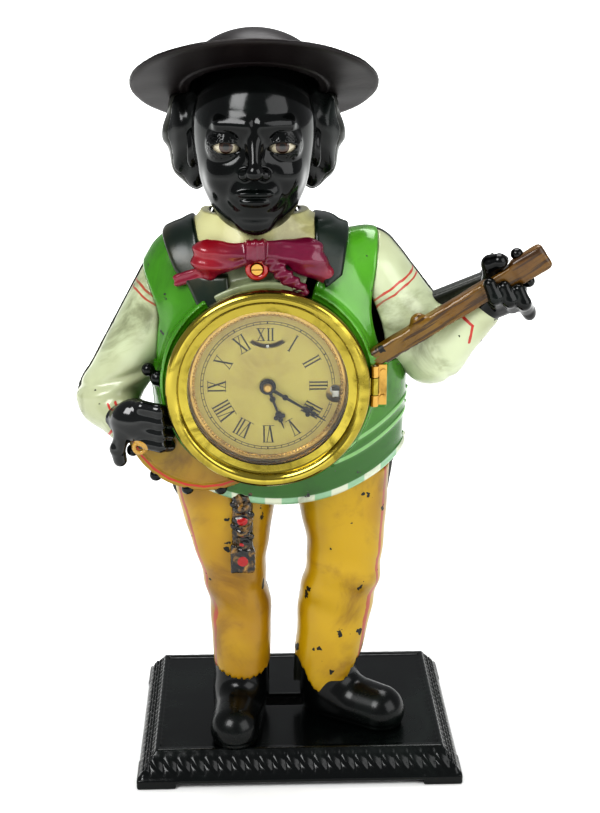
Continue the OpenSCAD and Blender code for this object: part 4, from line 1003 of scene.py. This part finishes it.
class Paint:
    """A material under construction, with its colour built up in layers."""

    def __init__(self, name, colour, rough, metal=0.0, coat=0.0):
        self.material = bpy.data.materials.new(name)
        self.material.use_nodes = True
        self.tree = self.material.node_tree
        self.shader = self.tree.nodes["Principled BSDF"]
        self.shader.inputs["Metallic"].default_value = metal
        self.shader.inputs["Coat Weight"].default_value = coat
        self.shader.inputs["Coat Roughness"].default_value = 0.08
        self.shader.inputs["Base Color"].default_value = (*colour, 1.0)
        self.shader.inputs["Roughness"].default_value = rough
        self.colour = None
        self.rough = None

    def wear(self, **values):
        """Places the wear group and returns its outputs."""
        node = self.tree.nodes.new("ShaderNodeGroup")
        node.node_tree = WEAR
        for label, value in values.items():
            node.inputs[label.replace("_", " ")].default_value = value
        return node.outputs

    def layer(self, mask, colour, amount=1.0):
        """Lays a colour over the paint where the mask is."""
        mix = self.tree.nodes.new("ShaderNodeMix")
        mix.data_type = "RGBA"
        wire(self.tree, maths(self.tree, "MULTIPLY", mask, amount), mix.inputs["Factor"])
        if self.colour is None:
            mix.inputs["A"].default_value = self.shader.inputs["Base Color"].default_value
        else:
            wire(self.tree, self.colour, mix.inputs["A"])
        mix.inputs["B"].default_value = (*colour, 1.0)
        self.colour = mix.outputs["Result"]

    def roughen(self, mask, rough):
        """Changes the roughness where the mask is."""
        mix = self.tree.nodes.new("ShaderNodeMix")
        wire(self.tree, mask, mix.inputs["Factor"])
        if self.rough is None:
            mix.inputs["A"].default_value = self.shader.inputs["Roughness"].default_value
        else:
            wire(self.tree, self.rough, mix.inputs["A"])
        mix.inputs["B"].default_value = rough
        self.rough = mix.outputs["Result"]

    def band(self, point, direction, half, colour):
        """Paints a line where a plane cuts the surface."""
        node = self.tree.nodes.new("ShaderNodeGroup")
        node.node_tree = BAND
        node.inputs["Point"].default_value = placed(point)
        node.inputs["Direction"].default_value = Vector(direction).normalized()
        node.inputs["Half Width"].default_value = half * MM
        self.layer(node.outputs["Mask"], colour, 0.9)

    def stroke(self, a, b, radius, colour):
        """Paints one brush stroke, placed in the front view."""
        node = self.tree.nodes.new("ShaderNodeGroup")
        node.node_tree = STROKE
        node.inputs["From"].default_value = placed((a[0], 0.0, a[1]))
        node.inputs["To"].default_value = placed((b[0], 0.0, b[1]))
        node.inputs["Radius"].default_value = radius * MM
        self.layer(node.outputs["Mask"], colour, 0.95)

    def trail(self, points, radius, colour):
        """Paints strokes from point to point."""
        for a, b in zip(points, points[1:]):
            self.stroke(a, b, radius, colour)

    def spot(self, middle, half_gap, radius, colour, soft=0.25, amount=1.0):
        """Paints one round spot, or a pair where the half gap is not zero."""
        node = self.tree.nodes.new("ShaderNodeGroup")
        node.node_tree = SPOT
        node.inputs["Middle"].default_value = placed(middle)
        node.inputs["Half Gap"].default_value = half_gap * MM
        node.inputs["Radius"].default_value = radius * MM
        node.inputs["Softness"].default_value = soft * MM
        self.layer(node.outputs["Mask"], colour, amount)

    def trim_and_hem_shade(self):
        """The painted stripes of the waistcoat's lower edge, over painted shade that darkens the coat towards
        the hem.
        """
        node = self.tree.nodes.new("ShaderNodeGroup")
        node.node_tree = HEM
        node.inputs["Middle"].default_value = BASE_X
        high, blocks, right = node.outputs
        # painted shade: the green darkens towards the hem, fully within 14 mm of it
        lower = maths(self.tree, "SUBTRACT", 1.0, steps(self.tree, high, 14.0, 44.0))
        self.layer(lower, (0.012, 0.085, 0.006), 0.75)
        for level in (22.0, 30.0):
            gap = maths(self.tree, "ABSOLUTE", maths(self.tree, "SUBTRACT", high, level))
            line = maths(self.tree, "SUBTRACT", 1.0, steps(self.tree, gap, 0.9, 1.5))
            self.layer(maths(self.tree, "MULTIPLY", line, right), (0.22, 0.44, 0.16), 0.9)
        band = maths(self.tree, "SUBTRACT", 1.0, steps(self.tree, high, 4.6, 5.4))
        self.layer(band, (0.28, 0.46, 0.30), 0.9)
        self.layer(maths(self.tree, "MULTIPLY", band, blocks), (0.62, 0.62, 0.50), 0.8)

    def streaks(self, turn, colour, amount):
        """Dark brush streaks that run along one direction of the front view."""
        tree = self.tree
        mapping = tree.nodes.new("ShaderNodeMapping")
        mapping.inputs["Rotation"].default_value = (0.0, turn, 0.0)
        wire(tree, tree.nodes.new("ShaderNodeTexCoord").outputs["Object"], mapping.inputs["Vector"])
        drawn = vmaths(tree, "MULTIPLY", mapping.outputs["Vector"], (30.0, 200.0, 420.0))
        self.layer(steps(tree, noise(tree, drawn, 1.0, 3.0, 0.5), 0.50, 0.60), colour, amount)

    def seam(self, deep, middle, clear, colour):
        """A painted line down the outer sides, where an upright plane across the figure cuts them."""
        node = self.tree.nodes.new("ShaderNodeGroup")
        node.node_tree = BAND
        node.inputs["Point"].default_value = placed((0.0, deep, 0.0))
        node.inputs["Direction"].default_value = (0.0, 1.0, 0.0)
        node.inputs["Half Width"].default_value = 1.5 * MM
        split = self.tree.nodes.new("ShaderNodeSeparateXYZ")
        wire(self.tree, self.tree.nodes.new("ShaderNodeTexCoord").outputs["Object"], split.inputs[0])
        across = maths(self.tree, "ABSOLUTE", maths(self.tree, "SUBTRACT", split.outputs[0],
                                                    (middle + BASE_X) * MM))
        outer = steps(self.tree, across, clear * MM, (clear + 1.0) * MM)
        self.layer(maths(self.tree, "MULTIPLY", node.outputs["Mask"], outer), colour, 0.9)

    def done(self, relief=None, strength=0.15, distance=0.0006):
        """Joins the layers to the shader and returns the material."""
        if relief is not None:
            bump = self.tree.nodes.new("ShaderNodeBump")
            bump.inputs["Strength"].default_value = strength
            bump.inputs["Distance"].default_value = distance
            wire(self.tree, relief, bump.inputs["Height"])
            wire(self.tree, bump.outputs["Normal"], self.shader.inputs["Normal"])
        if self.colour is not None:
            wire(self.tree, self.colour, self.shader.inputs["Base Color"])
        if self.rough is not None:
            wire(self.tree, self.rough, self.shader.inputs["Roughness"])
        return self.material


BLACK_IRON = (0.006, 0.006, 0.005)
GRIME = (0.055, 0.045, 0.018)


def enamel(name, colour, second, rough=0.28, chips=0.35, grime=0.5, coat=0.25, dirt=GRIME, seed=0.0,
           marks=()):
    """Cold paint over black iron: two tones, grime, chips and brushed marks."""
    paint = Paint(name, colour, rough, coat=coat)
    worn = paint.wear(Chip_Amount=chips, Seed=seed)
    paint.layer(steps(paint.tree, worn["Tone"], 0.38, 0.66), second)
    for kind, *values in marks:
        getattr(paint, kind)(*values)
    paint.layer(worn["Grime"], dirt, grime)
    paint.layer(worn["Chips"], BLACK_IRON)
    paint.roughen(worn["Chips"], 0.55)
    return paint.done(worn["Relief"])


def gloss_black(name, tint=(0.003, 0.0035, 0.0035), rough=0.16, green=(0.008, 0.02, 0.014), amount=0.35):
    """Glossy black enamel with a faint green bloom."""
    paint = Paint(name, tint, rough, coat=0.12)
    paint.shader.inputs["Specular IOR Level"].default_value = 0.32
    worn = paint.wear(Chip_Amount=0.0, Grime_Size=24.0)
    paint.layer(worn["Grime"], green, amount)
    paint.roughen(worn["Grime"], rough + 0.14)
    return paint.done(worn["Relief"], 0.10)


def metal(name, colour, stain, rough=0.24, amount=0.5, grime_size=45.0):
    """Aged metal with darker stains and uneven polish."""
    paint = Paint(name, colour, rough, metal=1.0)
    worn = paint.wear(Chip_Amount=0.0, Grime_Size=grime_size)
    paint.layer(worn["Grime"], stain, amount)
    paint.roughen(worn["Grime"], min(rough + 0.22, 0.9))
    return paint.done(worn["Relief"], 0.06)


def eye_paint():
    """Ivory enamel with a dark iris and pupil looking ahead."""
    paint = Paint("Eye Enamel", (0.44, 0.40, 0.30), 0.16, coat=0.8)
    middle = (HEAD_X, EYE_Y, EYE_Z)
    paint.spot(middle, EYE_HALF, 3.3, (0.035, 0.014, 0.006), 0.3)
    paint.spot(middle, EYE_HALF, 1.5, (0.002, 0.002, 0.002), 0.2)
    return paint.done()


def dial_paint(colour):
    """Aged paper: golden near the rim, with faint spots."""
    paint = Paint("Dial Paper", colour, 0.62)
    worn = paint.wear(Chip_Amount=0.0, Grime_Size=38.0)
    rim = vmaths(paint.tree, "SUBTRACT", paint.tree.nodes.new("ShaderNodeTexCoord").outputs["Object"],
                 tuple((DIAL_LOW + DIAL_HIGH) / 2))
    away = vmaths(paint.tree, "LENGTH", rim, out=1)
    paint.layer(steps(paint.tree, away, 0.026, 0.044), (0.42, 0.26, 0.09), 0.55)
    paint.layer(worn["Grime"], (0.34, 0.20, 0.07), 0.45)
    return paint.done(worn["Relief"], 0.05)


def glass():
    """Clear glass of the bezel."""
    material = bpy.data.materials.new("Bezel Glass")
    material.use_nodes = True
    shader = material.node_tree.nodes["Principled BSDF"]
    shader.inputs["Base Color"].default_value = (0.97, 0.99, 0.97, 1.0)
    shader.inputs["Roughness"].default_value = 0.02
    shader.inputs["IOR"].default_value = 1.45
    shader.inputs["Metallic"].default_value = 0.0
    shader.inputs["Transmission Weight"].default_value = 1.0
    return material


# ---------- ornament that repeats along an arc ----------

def arc_tree():
    """Beads evenly spaced along an arc in the upright plane."""
    tree = bpy.data.node_groups.new("Arc Of Beads", "GeometryNodeTree")
    face_in = tree.interface.new_socket
    face_in("Geometry", in_out="INPUT", socket_type="NodeSocketGeometry")
    for label, kind in (("Count", "Int"), ("Ring Radius", "Float"), ("Start Angle", "Float"),
                        ("Sweep", "Float"), ("Bead Radius", "Float"), ("Centre", "Vector"),
                        ("Material", "Material")):
        face_in(label, in_out="INPUT", socket_type="NodeSocket" + kind)
    face_in("Geometry", in_out="OUTPUT", socket_type="NodeSocketGeometry")
    make = tree.nodes.new
    start, end = make("NodeGroupInput"), make("NodeGroupOutput")

    def calc(kind, a, b):
        node = make("ShaderNodeMath")
        node.operation = kind
        for socket, value in zip(node.inputs, (a, b)):
            if isinstance(value, (int, float)):
                socket.default_value = value
            else:
                wire(tree, value, socket)
        return node.outputs[0]

    points = make("GeometryNodePoints")
    wire(tree, start.outputs["Count"], points.inputs["Count"])
    part = calc("DIVIDE", make("GeometryNodeInputIndex").outputs[0], start.outputs["Count"])
    angle = calc("ADD", start.outputs["Start Angle"], calc("MULTIPLY", part, start.outputs["Sweep"]))
    spot = make("ShaderNodeCombineXYZ")
    wire(tree, calc("MULTIPLY", calc("COSINE", angle, 0.0), start.outputs["Ring Radius"]), spot.inputs[0])
    wire(tree, calc("MULTIPLY", calc("SINE", angle, 0.0), start.outputs["Ring Radius"]), spot.inputs[2])
    place = make("ShaderNodeVectorMath")
    wire(tree, spot.outputs[0], place.inputs[0])
    wire(tree, start.outputs["Centre"], place.inputs[1])
    move = make("GeometryNodeSetPosition")
    wire(tree, points.outputs[0], move.inputs["Geometry"])
    wire(tree, place.outputs[0], move.inputs["Position"])
    bead = make("GeometryNodeMeshUVSphere")
    bead.inputs["Segments"].default_value = 20
    bead.inputs["Rings"].default_value = 12
    wire(tree, start.outputs["Bead Radius"], bead.inputs["Radius"])
    soft = make("GeometryNodeSetShadeSmooth")
    wire(tree, bead.outputs["Mesh"], soft.inputs["Geometry"])
    copies = make("GeometryNodeInstanceOnPoints")
    wire(tree, move.outputs["Geometry"], copies.inputs["Points"])
    wire(tree, soft.outputs["Geometry"], copies.inputs["Instance"])
    solid = make("GeometryNodeRealizeInstances")
    wire(tree, copies.outputs["Instances"], solid.inputs["Geometry"])
    coat = make("GeometryNodeSetMaterial")
    wire(tree, solid.outputs["Geometry"], coat.inputs["Geometry"])
    wire(tree, start.outputs["Material"], coat.inputs["Material"])
    wire(tree, coat.outputs["Geometry"], end.inputs["Geometry"])
    return tree


ARC = arc_tree()
BEAD_INSET = 0.0026
BEAD_SINK = 0.0004


def arc_of_beads(name, material, slot, **values):
    """A plain mesh of beads from the arc tree, riding on the case."""
    seed = bpy.data.meshes.new(name)
    obj = bpy.data.objects.new(name, seed)
    bpy.context.scene.collection.objects.link(obj)
    modifier = obj.modifiers.new("Beads", "NODES")
    modifier.node_group = ARC
    ids = {item.name: item.identifier for item in ARC.interface.items_tree if item.in_out == "INPUT"}
    for label, value in values.items():
        modifier[ids[label.replace("_", " ")]] = value
    modifier[ids["Material"]] = material
    graph = bpy.context.evaluated_depsgraph_get()
    obj.data = bpy.data.meshes.new_from_object(obj.evaluated_get(graph), depsgraph=graph)
    obj.modifiers.clear()
    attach(obj, "case")
    return obj


def finish_nodes(material, *names):
    """Gives CAD pieces a finer finish in their own material slots."""
    for name in names:
        data = frame["nodes"][name].data
        if not data.materials:
            data.materials.append(material)
        for k in range(len(data.materials)):
            data.materials[k] = material


# ---------- settings ----------

def tint(name, description, start):
    """A colour that the user may change."""
    return bpy.props.FloatVectorProperty(name=name, description=description, default=start,
                                         min=0.0, max=1.0, size=3, subtype="COLOR")


class ClockPaint(bpy.types.PropertyGroup):
    """Colours of the cold paint."""
    waistcoat: tint("Waistcoat", "Main colour of the waistcoat", (0.045, 0.195, 0.004))
    trousers: tint("Trousers", "Main colour of the trousers", (0.42, 0.270, 0.004))
    sleeves: tint("Sleeves", "Main colour of the sleeves", (0.50, 0.55, 0.37))
    bow: tint("Bow", "Main colour of the bow tie", (0.25, 0.004, 0.009))
    banjo: tint("Banjo", "Main colour of the banjo's drum", (0.28, 0.18, 0.006))
    paper: tint("Dial", "Main colour of the dial", (0.60, 0.50, 0.13))
    chips: bpy.props.FloatProperty(name="Chips", description="How much paint has chipped off", default=0.55,
                                   min=0.0, max=1.0, subtype="FACTOR")


class ClockSizes(bpy.types.PropertyGroup):
    """Sizes of the small ornament and of the mesh cells."""
    cell: bpy.props.FloatProperty(name="Cell Scale",
                                  description="Size of mesh cells against the usual ones",
                                  default=1.0, min=0.6, max=3.0, subtype="FACTOR")
    bead: bpy.props.FloatProperty(name="Bead Radius", description="Radius of each bead round the dial",
                                  default=0.0008, min=0.0003, max=0.0012,
                                  subtype="DISTANCE", unit="LENGTH")
    beads: bpy.props.IntProperty(name="Beads", description="Beads round the dial", default=128, min=40,
                                 max=200)


class ClockStage(bpy.types.PropertyGroup):
    """Camera and light."""
    eye: bpy.props.FloatVectorProperty(name="Camera Place",
                                       description="Camera place from the plinth's centre", size=3,
                                       default=(-0.024, -0.785, 0.472), subtype="TRANSLATION", unit="LENGTH")
    pitch: bpy.props.FloatProperty(name="Pitch", description="How far the camera looks down",
                                   default=math.radians(19.0), subtype="ANGLE", unit="ROTATION")
    yaw: bpy.props.FloatProperty(name="Yaw", description="How far the camera looks to the right",
                                 default=math.radians(1.9), subtype="ANGLE", unit="ROTATION")
    lens: bpy.props.FloatProperty(name="Lens", description="Focal length in millimetres", default=66.4,
                                  min=20.0, max=200.0)
    power: bpy.props.FloatProperty(name="Light", description="Power of the main light, in watts",
                                   default=22.0, min=0.0, max=200.0)


# ---------- operators ----------

class CLOCK_OT_plinth(bpy.types.Operator):
    """Build the plinth with its leafy border"""
    bl_idname = "clock.plinth"
    bl_label = "Plinth"

    def execute(self, context):
        cast("Plinth", plinth, (-94, -68, -1), (94, 68, 22), 0.85,
             gloss_black("Plinth Black", (0.002, 0.003, 0.003), 0.2, amount=0.2), ["plinth"])
        return {"FINISHED"}


class CLOCK_OT_hat(bpy.types.Operator):
    """Build the wide-brimmed hat"""
    bl_idname = "clock.hat"
    bl_label = "Hat"

    def execute(self, context):
        paint = Paint("Hat Paint", (0.005, 0.004, 0.004), 0.40, coat=0.0)
        paint.shader.inputs["Specular IOR Level"].default_value = 0.35
        worn = paint.wear(Chip_Amount=0.2, Grime_Size=22.0)
        paint.layer(worn["Grime"], (0.014, 0.010, 0.006), 0.7)
        paint.layer(worn["Tone"], (0.010, 0.004, 0.005), 0.6)
        paint.roughen(worn["Grime"], 0.5)
        cast("Hat", hat, (-88, -66, 346), (46, 56, 408), 0.9, paint.done(worn["Relief"], 0.2),
             ["hat"])
        return {"FINISHED"}


class CLOCK_OT_head(bpy.types.Operator):
    """Build the face and the front of the hair"""
    bl_idname = "clock.head"
    bl_label = "Head"

    def execute(self, context):
        black = gloss_black("Face Black", rough=0.12)
        cast("Face", face, (-62, -60, 288), (18, 2, 400), 0.7, black, ["front_casting"])
        cast("Hair", hair_front, (-74, -20, 315), (30, 2, 400), 0.9, gloss_black("Hair Black", rough=0.2),
             ["front_casting"])
        return {"FINISHED"}


class CLOCK_OT_dress(bpy.types.Operator):
    """Build the collar, shirt, lapels, waistcoat and bow tie"""
    bl_idname = "clock.dress"
    bl_label = "Dress"

    def execute(self, context):
        look = context.scene.clock_paint
        green = Paint("Waistcoat Paint", tuple(look.waistcoat), 0.26, coat=0.5)
        worn = green.wear(Chip_Amount=look.chips, Seed=3.0, Chip_Size=110.0)
        green.layer(steps(green.tree, worn["Tone"], 0.42, 0.70), (0.11, 0.36, 0.03), 0.8)
        green.trim_and_hem_shade()
        green.layer(worn["Grime"], (0.010, 0.045, 0.006), 0.65)
        green.layer(worn["Chips"], BLACK_IRON)
        green.roughen(worn["Chips"], 0.5)
        front = ["front_casting"]
        cast("Collar", collar, (-66, -50, 294), (24, 2, 322), 0.8,
             enamel("Collar Cream", (0.56, 0.56, 0.32), (0.44, 0.42, 0.20), chips=0.3,
                    dirt=(0.10, 0.07, 0.02), seed=1.0), front)
        cast("Shirt", shirt, (-62, -50, 240), (20, 2, 318), 1.0,
             enamel("Shirt Grey", (0.30, 0.33, 0.22), (0.20, 0.24, 0.13), chips=0.4, seed=2.0), front)
        cast("Lapels", lapels, (-78, -50, 258), (34, 2, 322), 0.9,
             enamel("Lapel Green", (0.004, 0.012, 0.007), (0.006, 0.020, 0.010), chips=0.2, coat=0.05,
                    seed=4.0), front)
        cast("Waistcoat", waistcoat, (-90, -50, 145), (64, 2, 314), 1.0, green.done(worn["Relief"], 0.2),
             front)
        cast("Bow", bow, (-68, -50, 268), (24, -18, 312), 0.7,
             enamel("Bow Red", tuple(look.bow), (0.13, 0.003, 0.032), chips=0.35, grime=0.35, coat=0.4,
                    dirt=(0.04, 0.002, 0.006), seed=5.0), front)
        return {"FINISHED"}


class CLOCK_OT_arms(bpy.types.Operator):
    """Build the shirt sleeves and both hands"""
    bl_idname = "clock.arms"
    bl_label = "Arms"

    def execute(self, context):
        look = context.scene.clock_paint
        red = (0.42, 0.015, 0.012)
        marks = [("band", (-70, -5, 267), (-40, -4, -65), 0.7, red),
                 ("band", (-71.9, -5, 264), (-40, -4, -65), 0.6, red),
                 ("band", (48, -6, 271), (27, -5, -35), 0.7, red), ("band", (50, -6, 268.4),
                                                                    (27, -5, -35), 0.6, red),
                 ("trail", [(-97, 215), (-92, 206), (-97, 197)], 0.8, red),
                 ("trail", [(-101, 214), (-96, 206), (-101, 198)], 0.7, red),
                 ("trail", [(84, 263), (91, 257), (90, 247)], 0.8, red)]
        cast("Sleeves", sleeves, (-124, -48, 182), (112, 2, 308), 1.0,
             enamel("Sleeve White", tuple(look.sleeves), (0.36, 0.38, 0.24), chips=look.chips, grime=0.8,
                    dirt=(0.11, 0.12, 0.055), seed=6.0, marks=marks), ["front_casting"])
        black = gloss_black("Hand Black")
        ringed = Paint("Hand With Ring", (0.004, 0.005, 0.005), 0.12, coat=0.3)
        ringed.spot((-84.0, -40.4, 194.0), 0.0, 4.4, (0.40, 0.24, 0.05), 0.3)
        ringed.spot((-84.0, -40.4, 194.0), 0.0, 1.6, (0.01, 0.01, 0.01), 0.3)
        cast("HandOverDrum", left_hand, (-104, -50, 176), (-60, -16, 226), 0.7, ringed.done(),
             ["front_casting"])
        cast("HandOnNeck", right_hand, (88, -50, 256), (128, -16, 298), 0.7, black,
             ["front_casting"])
        return {"FINISHED"}


class CLOCK_OT_banjo(bpy.types.Operator):
    """Build the banjo: drum, neck, pegs and tension hooks"""
    bl_idname = "clock.banjo"
    bl_label = "Banjo"

    def execute(self, context):
        look = context.scene.clock_paint
        front = ["front_casting"]
        arc = [(DRUM_MID[0] + 40 * math.cos(a), DRUM_MID[2] + 40 * math.sin(a))
               for a in np.radians(range(185, 300, 14))]
        cast("BanjoDrum", banjo_drum, (-96, -40, 160), (-4, -20, 256), 0.8,
             enamel("Drum Ochre", tuple(look.banjo), (0.26, 0.12, 0.008), chips=0.5, grime=0.7,
                    dirt=(0.09, 0.035, 0.01),
                    seed=7.0, marks=[("trail", arc, 0.7, (0.40, 0.02, 0.01))]), front)
        streaked = [("streaks", NECK_TURN, (0.035, 0.016, 0.006), 0.85)]
        cast("BanjoNeck", banjo_neck, (14, -46, 222), (134, -28, 302), 0.7,
             enamel("Neck Brown", (0.17, 0.095, 0.010), (0.12, 0.055, 0.006), coat=0.1, chips=0.45,
                    grime=0.55, dirt=(0.05, 0.022, 0.008),
                    seed=8.0, marks=streaked), front)
        black = gloss_black("Peg Black")
        cast("BanjoPegs", banjo_pegs, (-100, -42, 160), (134, -26, 306), 0.8, black, front)
        return {"FINISHED"}


class CLOCK_OT_legs(bpy.types.Operator):
    """Build the trousers, shoes and watch fob"""
    bl_idname = "clock.legs"
    bl_label = "Legs"

    def execute(self, context):
        look = context.scene.clock_paint
        front = ["front_casting"]
        pink = (0.34, 0.045, 0.03)
        marks = [("seam", -17.0, -6.0, 36.0, pink)]
        cast("Trousers", trousers, (-72, -36, 28), (56, 2, 176), 1.0,
             enamel("Trouser Ochre", tuple(look.trousers), (0.32, 0.18, 0.006), chips=look.chips + 0.05,
                    grime=0.75,
                    coat=0.15, dirt=(0.15, 0.070, 0.010), seed=9.0, marks=marks), front)
        cast("Shoes", shoes, (-54, -62, 16), (66, 2, 62), 0.8, gloss_black("Shoe Black", rough=0.24),
             front)
        paint = Paint("Fob Black", (0.008, 0.008, 0.008), 0.22, coat=0.4)
        worn = paint.wear(Chip_Amount=0.0, Grime_Size=160.0)
        paint.layer(worn["Grime"], (0.40, 0.22, 0.05), 0.9)
        for high in (147.0, 134.5, 122.5):
            paint.spot((-30.5, -31.5, high), 0.0, 2.8, (0.30, 0.006, 0.006))
        cast("Fob", fob, (-40, -40, 110), (-20, -18, 170), 0.6, paint.done(worn["Relief"], 0.2),
             front)
        return {"FINISHED"}


class CLOCK_OT_back(bpy.types.Operator):
    """Build the dark back casting and the dark edges that show from the front, partly painted shade along the
    parting line
    """
    bl_idname = "clock.back"
    bl_label = "Back"

    def execute(self, context):
        dark = enamel("Back Paint And Edge Shade", (0.010, 0.012, 0.009), (0.016, 0.019, 0.013), rough=0.34, chips=0.25,
                      seed=10.0)
        cast("BackCasting", back_casting, (-124, -2, 16), (116, 28, 402), 1.4, dark,
             ["back_casting"])
        # ArmBacks and ShoulderRim: the front casting's edges in dark paint, partly painted shade along the
        # parting line
        cast("ArmBacks", arm_backs, (-124, -30, 176), (116, 2, 308), 1.0, dark,
             ["front_casting"])
        cast("ShoulderRim", shoulder_rim, (-82, -6, 165), (60, 2, 314), 1.0, dark,
             ["front_casting"])
        return {"FINISHED"}


class CLOCK_OT_clockwork(bpy.types.Operator):
    """Finish the dial, bezel, hands, eyes and movement"""
    bl_idname = "clock.clockwork"
    bl_label = "Clockwork"

    def execute(self, context):
        look, size = context.scene.clock_paint, context.scene.clock_sizes
        slots = {item["node"]: item["material_slot"] for item in frame["record"]["subparts"]}
        steel = metal("Aged Steel", (0.36, 0.34, 0.30), (0.10, 0.07, 0.04), 0.30)
        gilt = metal("Gilt Brass", (0.52, 0.33, 0.10), (0.12, 0.07, 0.02), 0.32, 0.7)
        finishes = {
            "steel_screw": steel,
            "red_enamel": enamel("Stud Red", (0.40, 0.010, 0.010), (0.30, 0.006, 0.006), rough=0.16,
                                 chips=0.0, coat=0.8),
            "gilt_brass": gilt,
            "paper_dial": dial_paint(tuple(look.paper)),
            "dial_ink": enamel("Dial Ink", (0.020, 0.016, 0.012), (0.05, 0.035, 0.02), rough=0.6,
                               chips=0.0, coat=0.0),
            "bezel_brass": metal("Bezel Brass", (0.40, 0.33, 0.070), (0.11, 0.09, 0.015), 0.13, 0.75, 60.0),
            "dial_glass": glass(),
            "plate_brass": metal("Movement Brass", (0.60, 0.42, 0.16), (0.20, 0.12, 0.04), 0.28, 0.5),
            "train_steel": metal("Polished Steel", (0.46, 0.45, 0.42), (0.20, 0.17, 0.13), 0.22, 0.5),
            "spring_steel": metal("Blued Steel", (0.05, 0.07, 0.16), (0.03, 0.03, 0.04), 0.25, 0.5),
            "hand_black": metal("Black Hands", (0.012, 0.012, 0.016), (0.03, 0.02, 0.012), 0.30, 0.4),
            "eye_enamel": eye_paint(),
        }
        for node, name in slots.items():
            if name in finishes:
                finish_nodes(finishes[name], node)
        low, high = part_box("dial_ring")
        middle = (low + high) / 2
        arc_of_beads("DialBeads", gilt, "gilt_brass", Count=size.beads,
                     Ring_Radius=(high.x - low.x) / 2 - BEAD_INSET, Start_Angle=0.0,
                     Sweep=2 * math.pi, Bead_Radius=size.bead,
                     Centre=(middle.x, low.y + BEAD_SINK, middle.z))
        return {"FINISHED"}


class CLOCK_OT_stage(bpy.types.Operator):
    """Set the floor, the lights and the camera"""
    bl_idname = "clock.stage"
    bl_label = "Stage"

    def execute(self, context):
        look = context.scene.clock_stage
        bpy.ops.mesh.primitive_plane_add(size=12.0, location=(0, 0, 0))
        floor = context.object
        floor.name = "Floor"
        glowing_floor = bpy.data.materials.new("Floor White Glow")
        glowing_floor.use_nodes = True
        glowing_floor.node_tree.nodes["Principled BSDF"].inputs["Base Color"].default_value = (0.86, 0.86, 0.85, 1.0)
        glowing_floor.node_tree.nodes["Principled BSDF"].inputs["Roughness"].default_value = 0.8
        # painted light: the floor glows white, from none 0.3 m from the clock to full strength 1.6 m out
        glowing_floor.node_tree.nodes["Principled BSDF"].inputs["Emission Color"].default_value = (0.97, 0.99,
                0.97, 1.0)
        away = vmaths(glowing_floor.node_tree, "LENGTH",
                      glowing_floor.node_tree.nodes.new("ShaderNodeTexCoord").outputs["Object"], out=1)
        wire(glowing_floor.node_tree, steps(glowing_floor.node_tree, away, 0.3, 1.6),
             glowing_floor.node_tree.nodes["Principled BSDF"].inputs["Emission Strength"])
        floor.data.materials.append(glowing_floor)
        for name, place, size, power in (("Key", (-0.9, -1.1, 1.5), 0.9, look.power),
                                         ("Fill", (1.2, -0.9, 0.9), 1.2, look.power * 0.5),
                                         ("Top", (0.1, 0.5, 1.6), 1.0, look.power * 0.7)):
            light = bpy.data.lights.new(name, "AREA")
            light.size = size
            light.energy = power
            lamp = bpy.data.objects.new(name, light)
            lamp.location = place
            lamp.rotation_euler = (Vector((0, 0, 0.2)) - Vector(place)).to_track_quat("-Z", "Y").to_euler()
            context.scene.collection.objects.link(lamp)
        world = bpy.data.worlds.new("Studio")
        world.use_nodes = True
        tree = world.node_tree
        tree.nodes["Background"].inputs["Color"].default_value = (0.97, 0.98, 1.0, 1.0)
        seen = maths(tree, "MULTIPLY", tree.nodes.new("ShaderNodeLightPath").outputs["Is Camera Ray"], 0.50)
        wire(tree, maths(tree, "ADD", seen, 0.42), tree.nodes["Background"].inputs["Strength"])
        context.scene.world = world
        context.scene.view_settings.view_transform = "Standard"
        context.scene.view_settings.look = "High Contrast"
        context.scene.view_settings.exposure = -0.12
        lens = bpy.data.cameras.new("Camera")
        lens.lens = look.lens
        camera = bpy.data.objects.new("Camera", lens)
        camera.location = Vector(look.eye) + Vector((BASE_X * MM, 0, 0))
        flat = math.cos(look.pitch)
        ahead = Vector((math.sin(look.yaw) * flat, math.cos(look.yaw) * flat, -math.sin(look.pitch)))
        camera.rotation_euler = ahead.to_track_quat("-Z", "Y").to_euler()
        context.scene.collection.objects.link(camera)
        context.scene.camera = camera
        return {"FINISHED"}


PARTS = (CLOCK_OT_plinth, CLOCK_OT_hat, CLOCK_OT_head, CLOCK_OT_dress, CLOCK_OT_arms,
         CLOCK_OT_banjo, CLOCK_OT_legs, CLOCK_OT_back, CLOCK_OT_clockwork, CLOCK_OT_stage)


class CLOCK_PT_sidebar(bpy.types.Panel):
    """Lists the clock's operators and settings"""
    bl_idname = "CLOCK_PT_sidebar"
    bl_label = "Clock"
    bl_space_type = "VIEW_3D"
    bl_region_type = "UI"
    bl_category = "Clock"

    def draw(self, context):
        for group in (context.scene.clock_paint, context.scene.clock_sizes, context.scene.clock_stage):
            for name in group.__annotations__:
                self.layout.prop(group, name)
        for part in PARTS:
            self.layout.operator(part.bl_idname)


CLASSES = (ClockPaint, ClockSizes, ClockStage, *PARTS, CLOCK_PT_sidebar)


def register():
    """Registers the settings, operators and panel."""
    for cls in CLASSES:
        bpy.utils.register_class(cls)
    bpy.types.Scene.clock_paint = bpy.props.PointerProperty(type=ClockPaint)
    bpy.types.Scene.clock_sizes = bpy.props.PointerProperty(type=ClockSizes)
    bpy.types.Scene.clock_stage = bpy.props.PointerProperty(type=ClockStage)


def unregister():
    """Takes them away again."""
    del bpy.types.Scene.clock_paint
    del bpy.types.Scene.clock_sizes
    del bpy.types.Scene.clock_stage
    for cls in reversed(CLASSES):
        bpy.utils.unregister_class(cls)


def main():
    """Builds everything in order."""
    register()
    for part in PARTS:
        family, name = part.bl_idname.split(".")
        getattr(getattr(bpy.ops, family), name)()


if __name__ == "__main__":
    main()
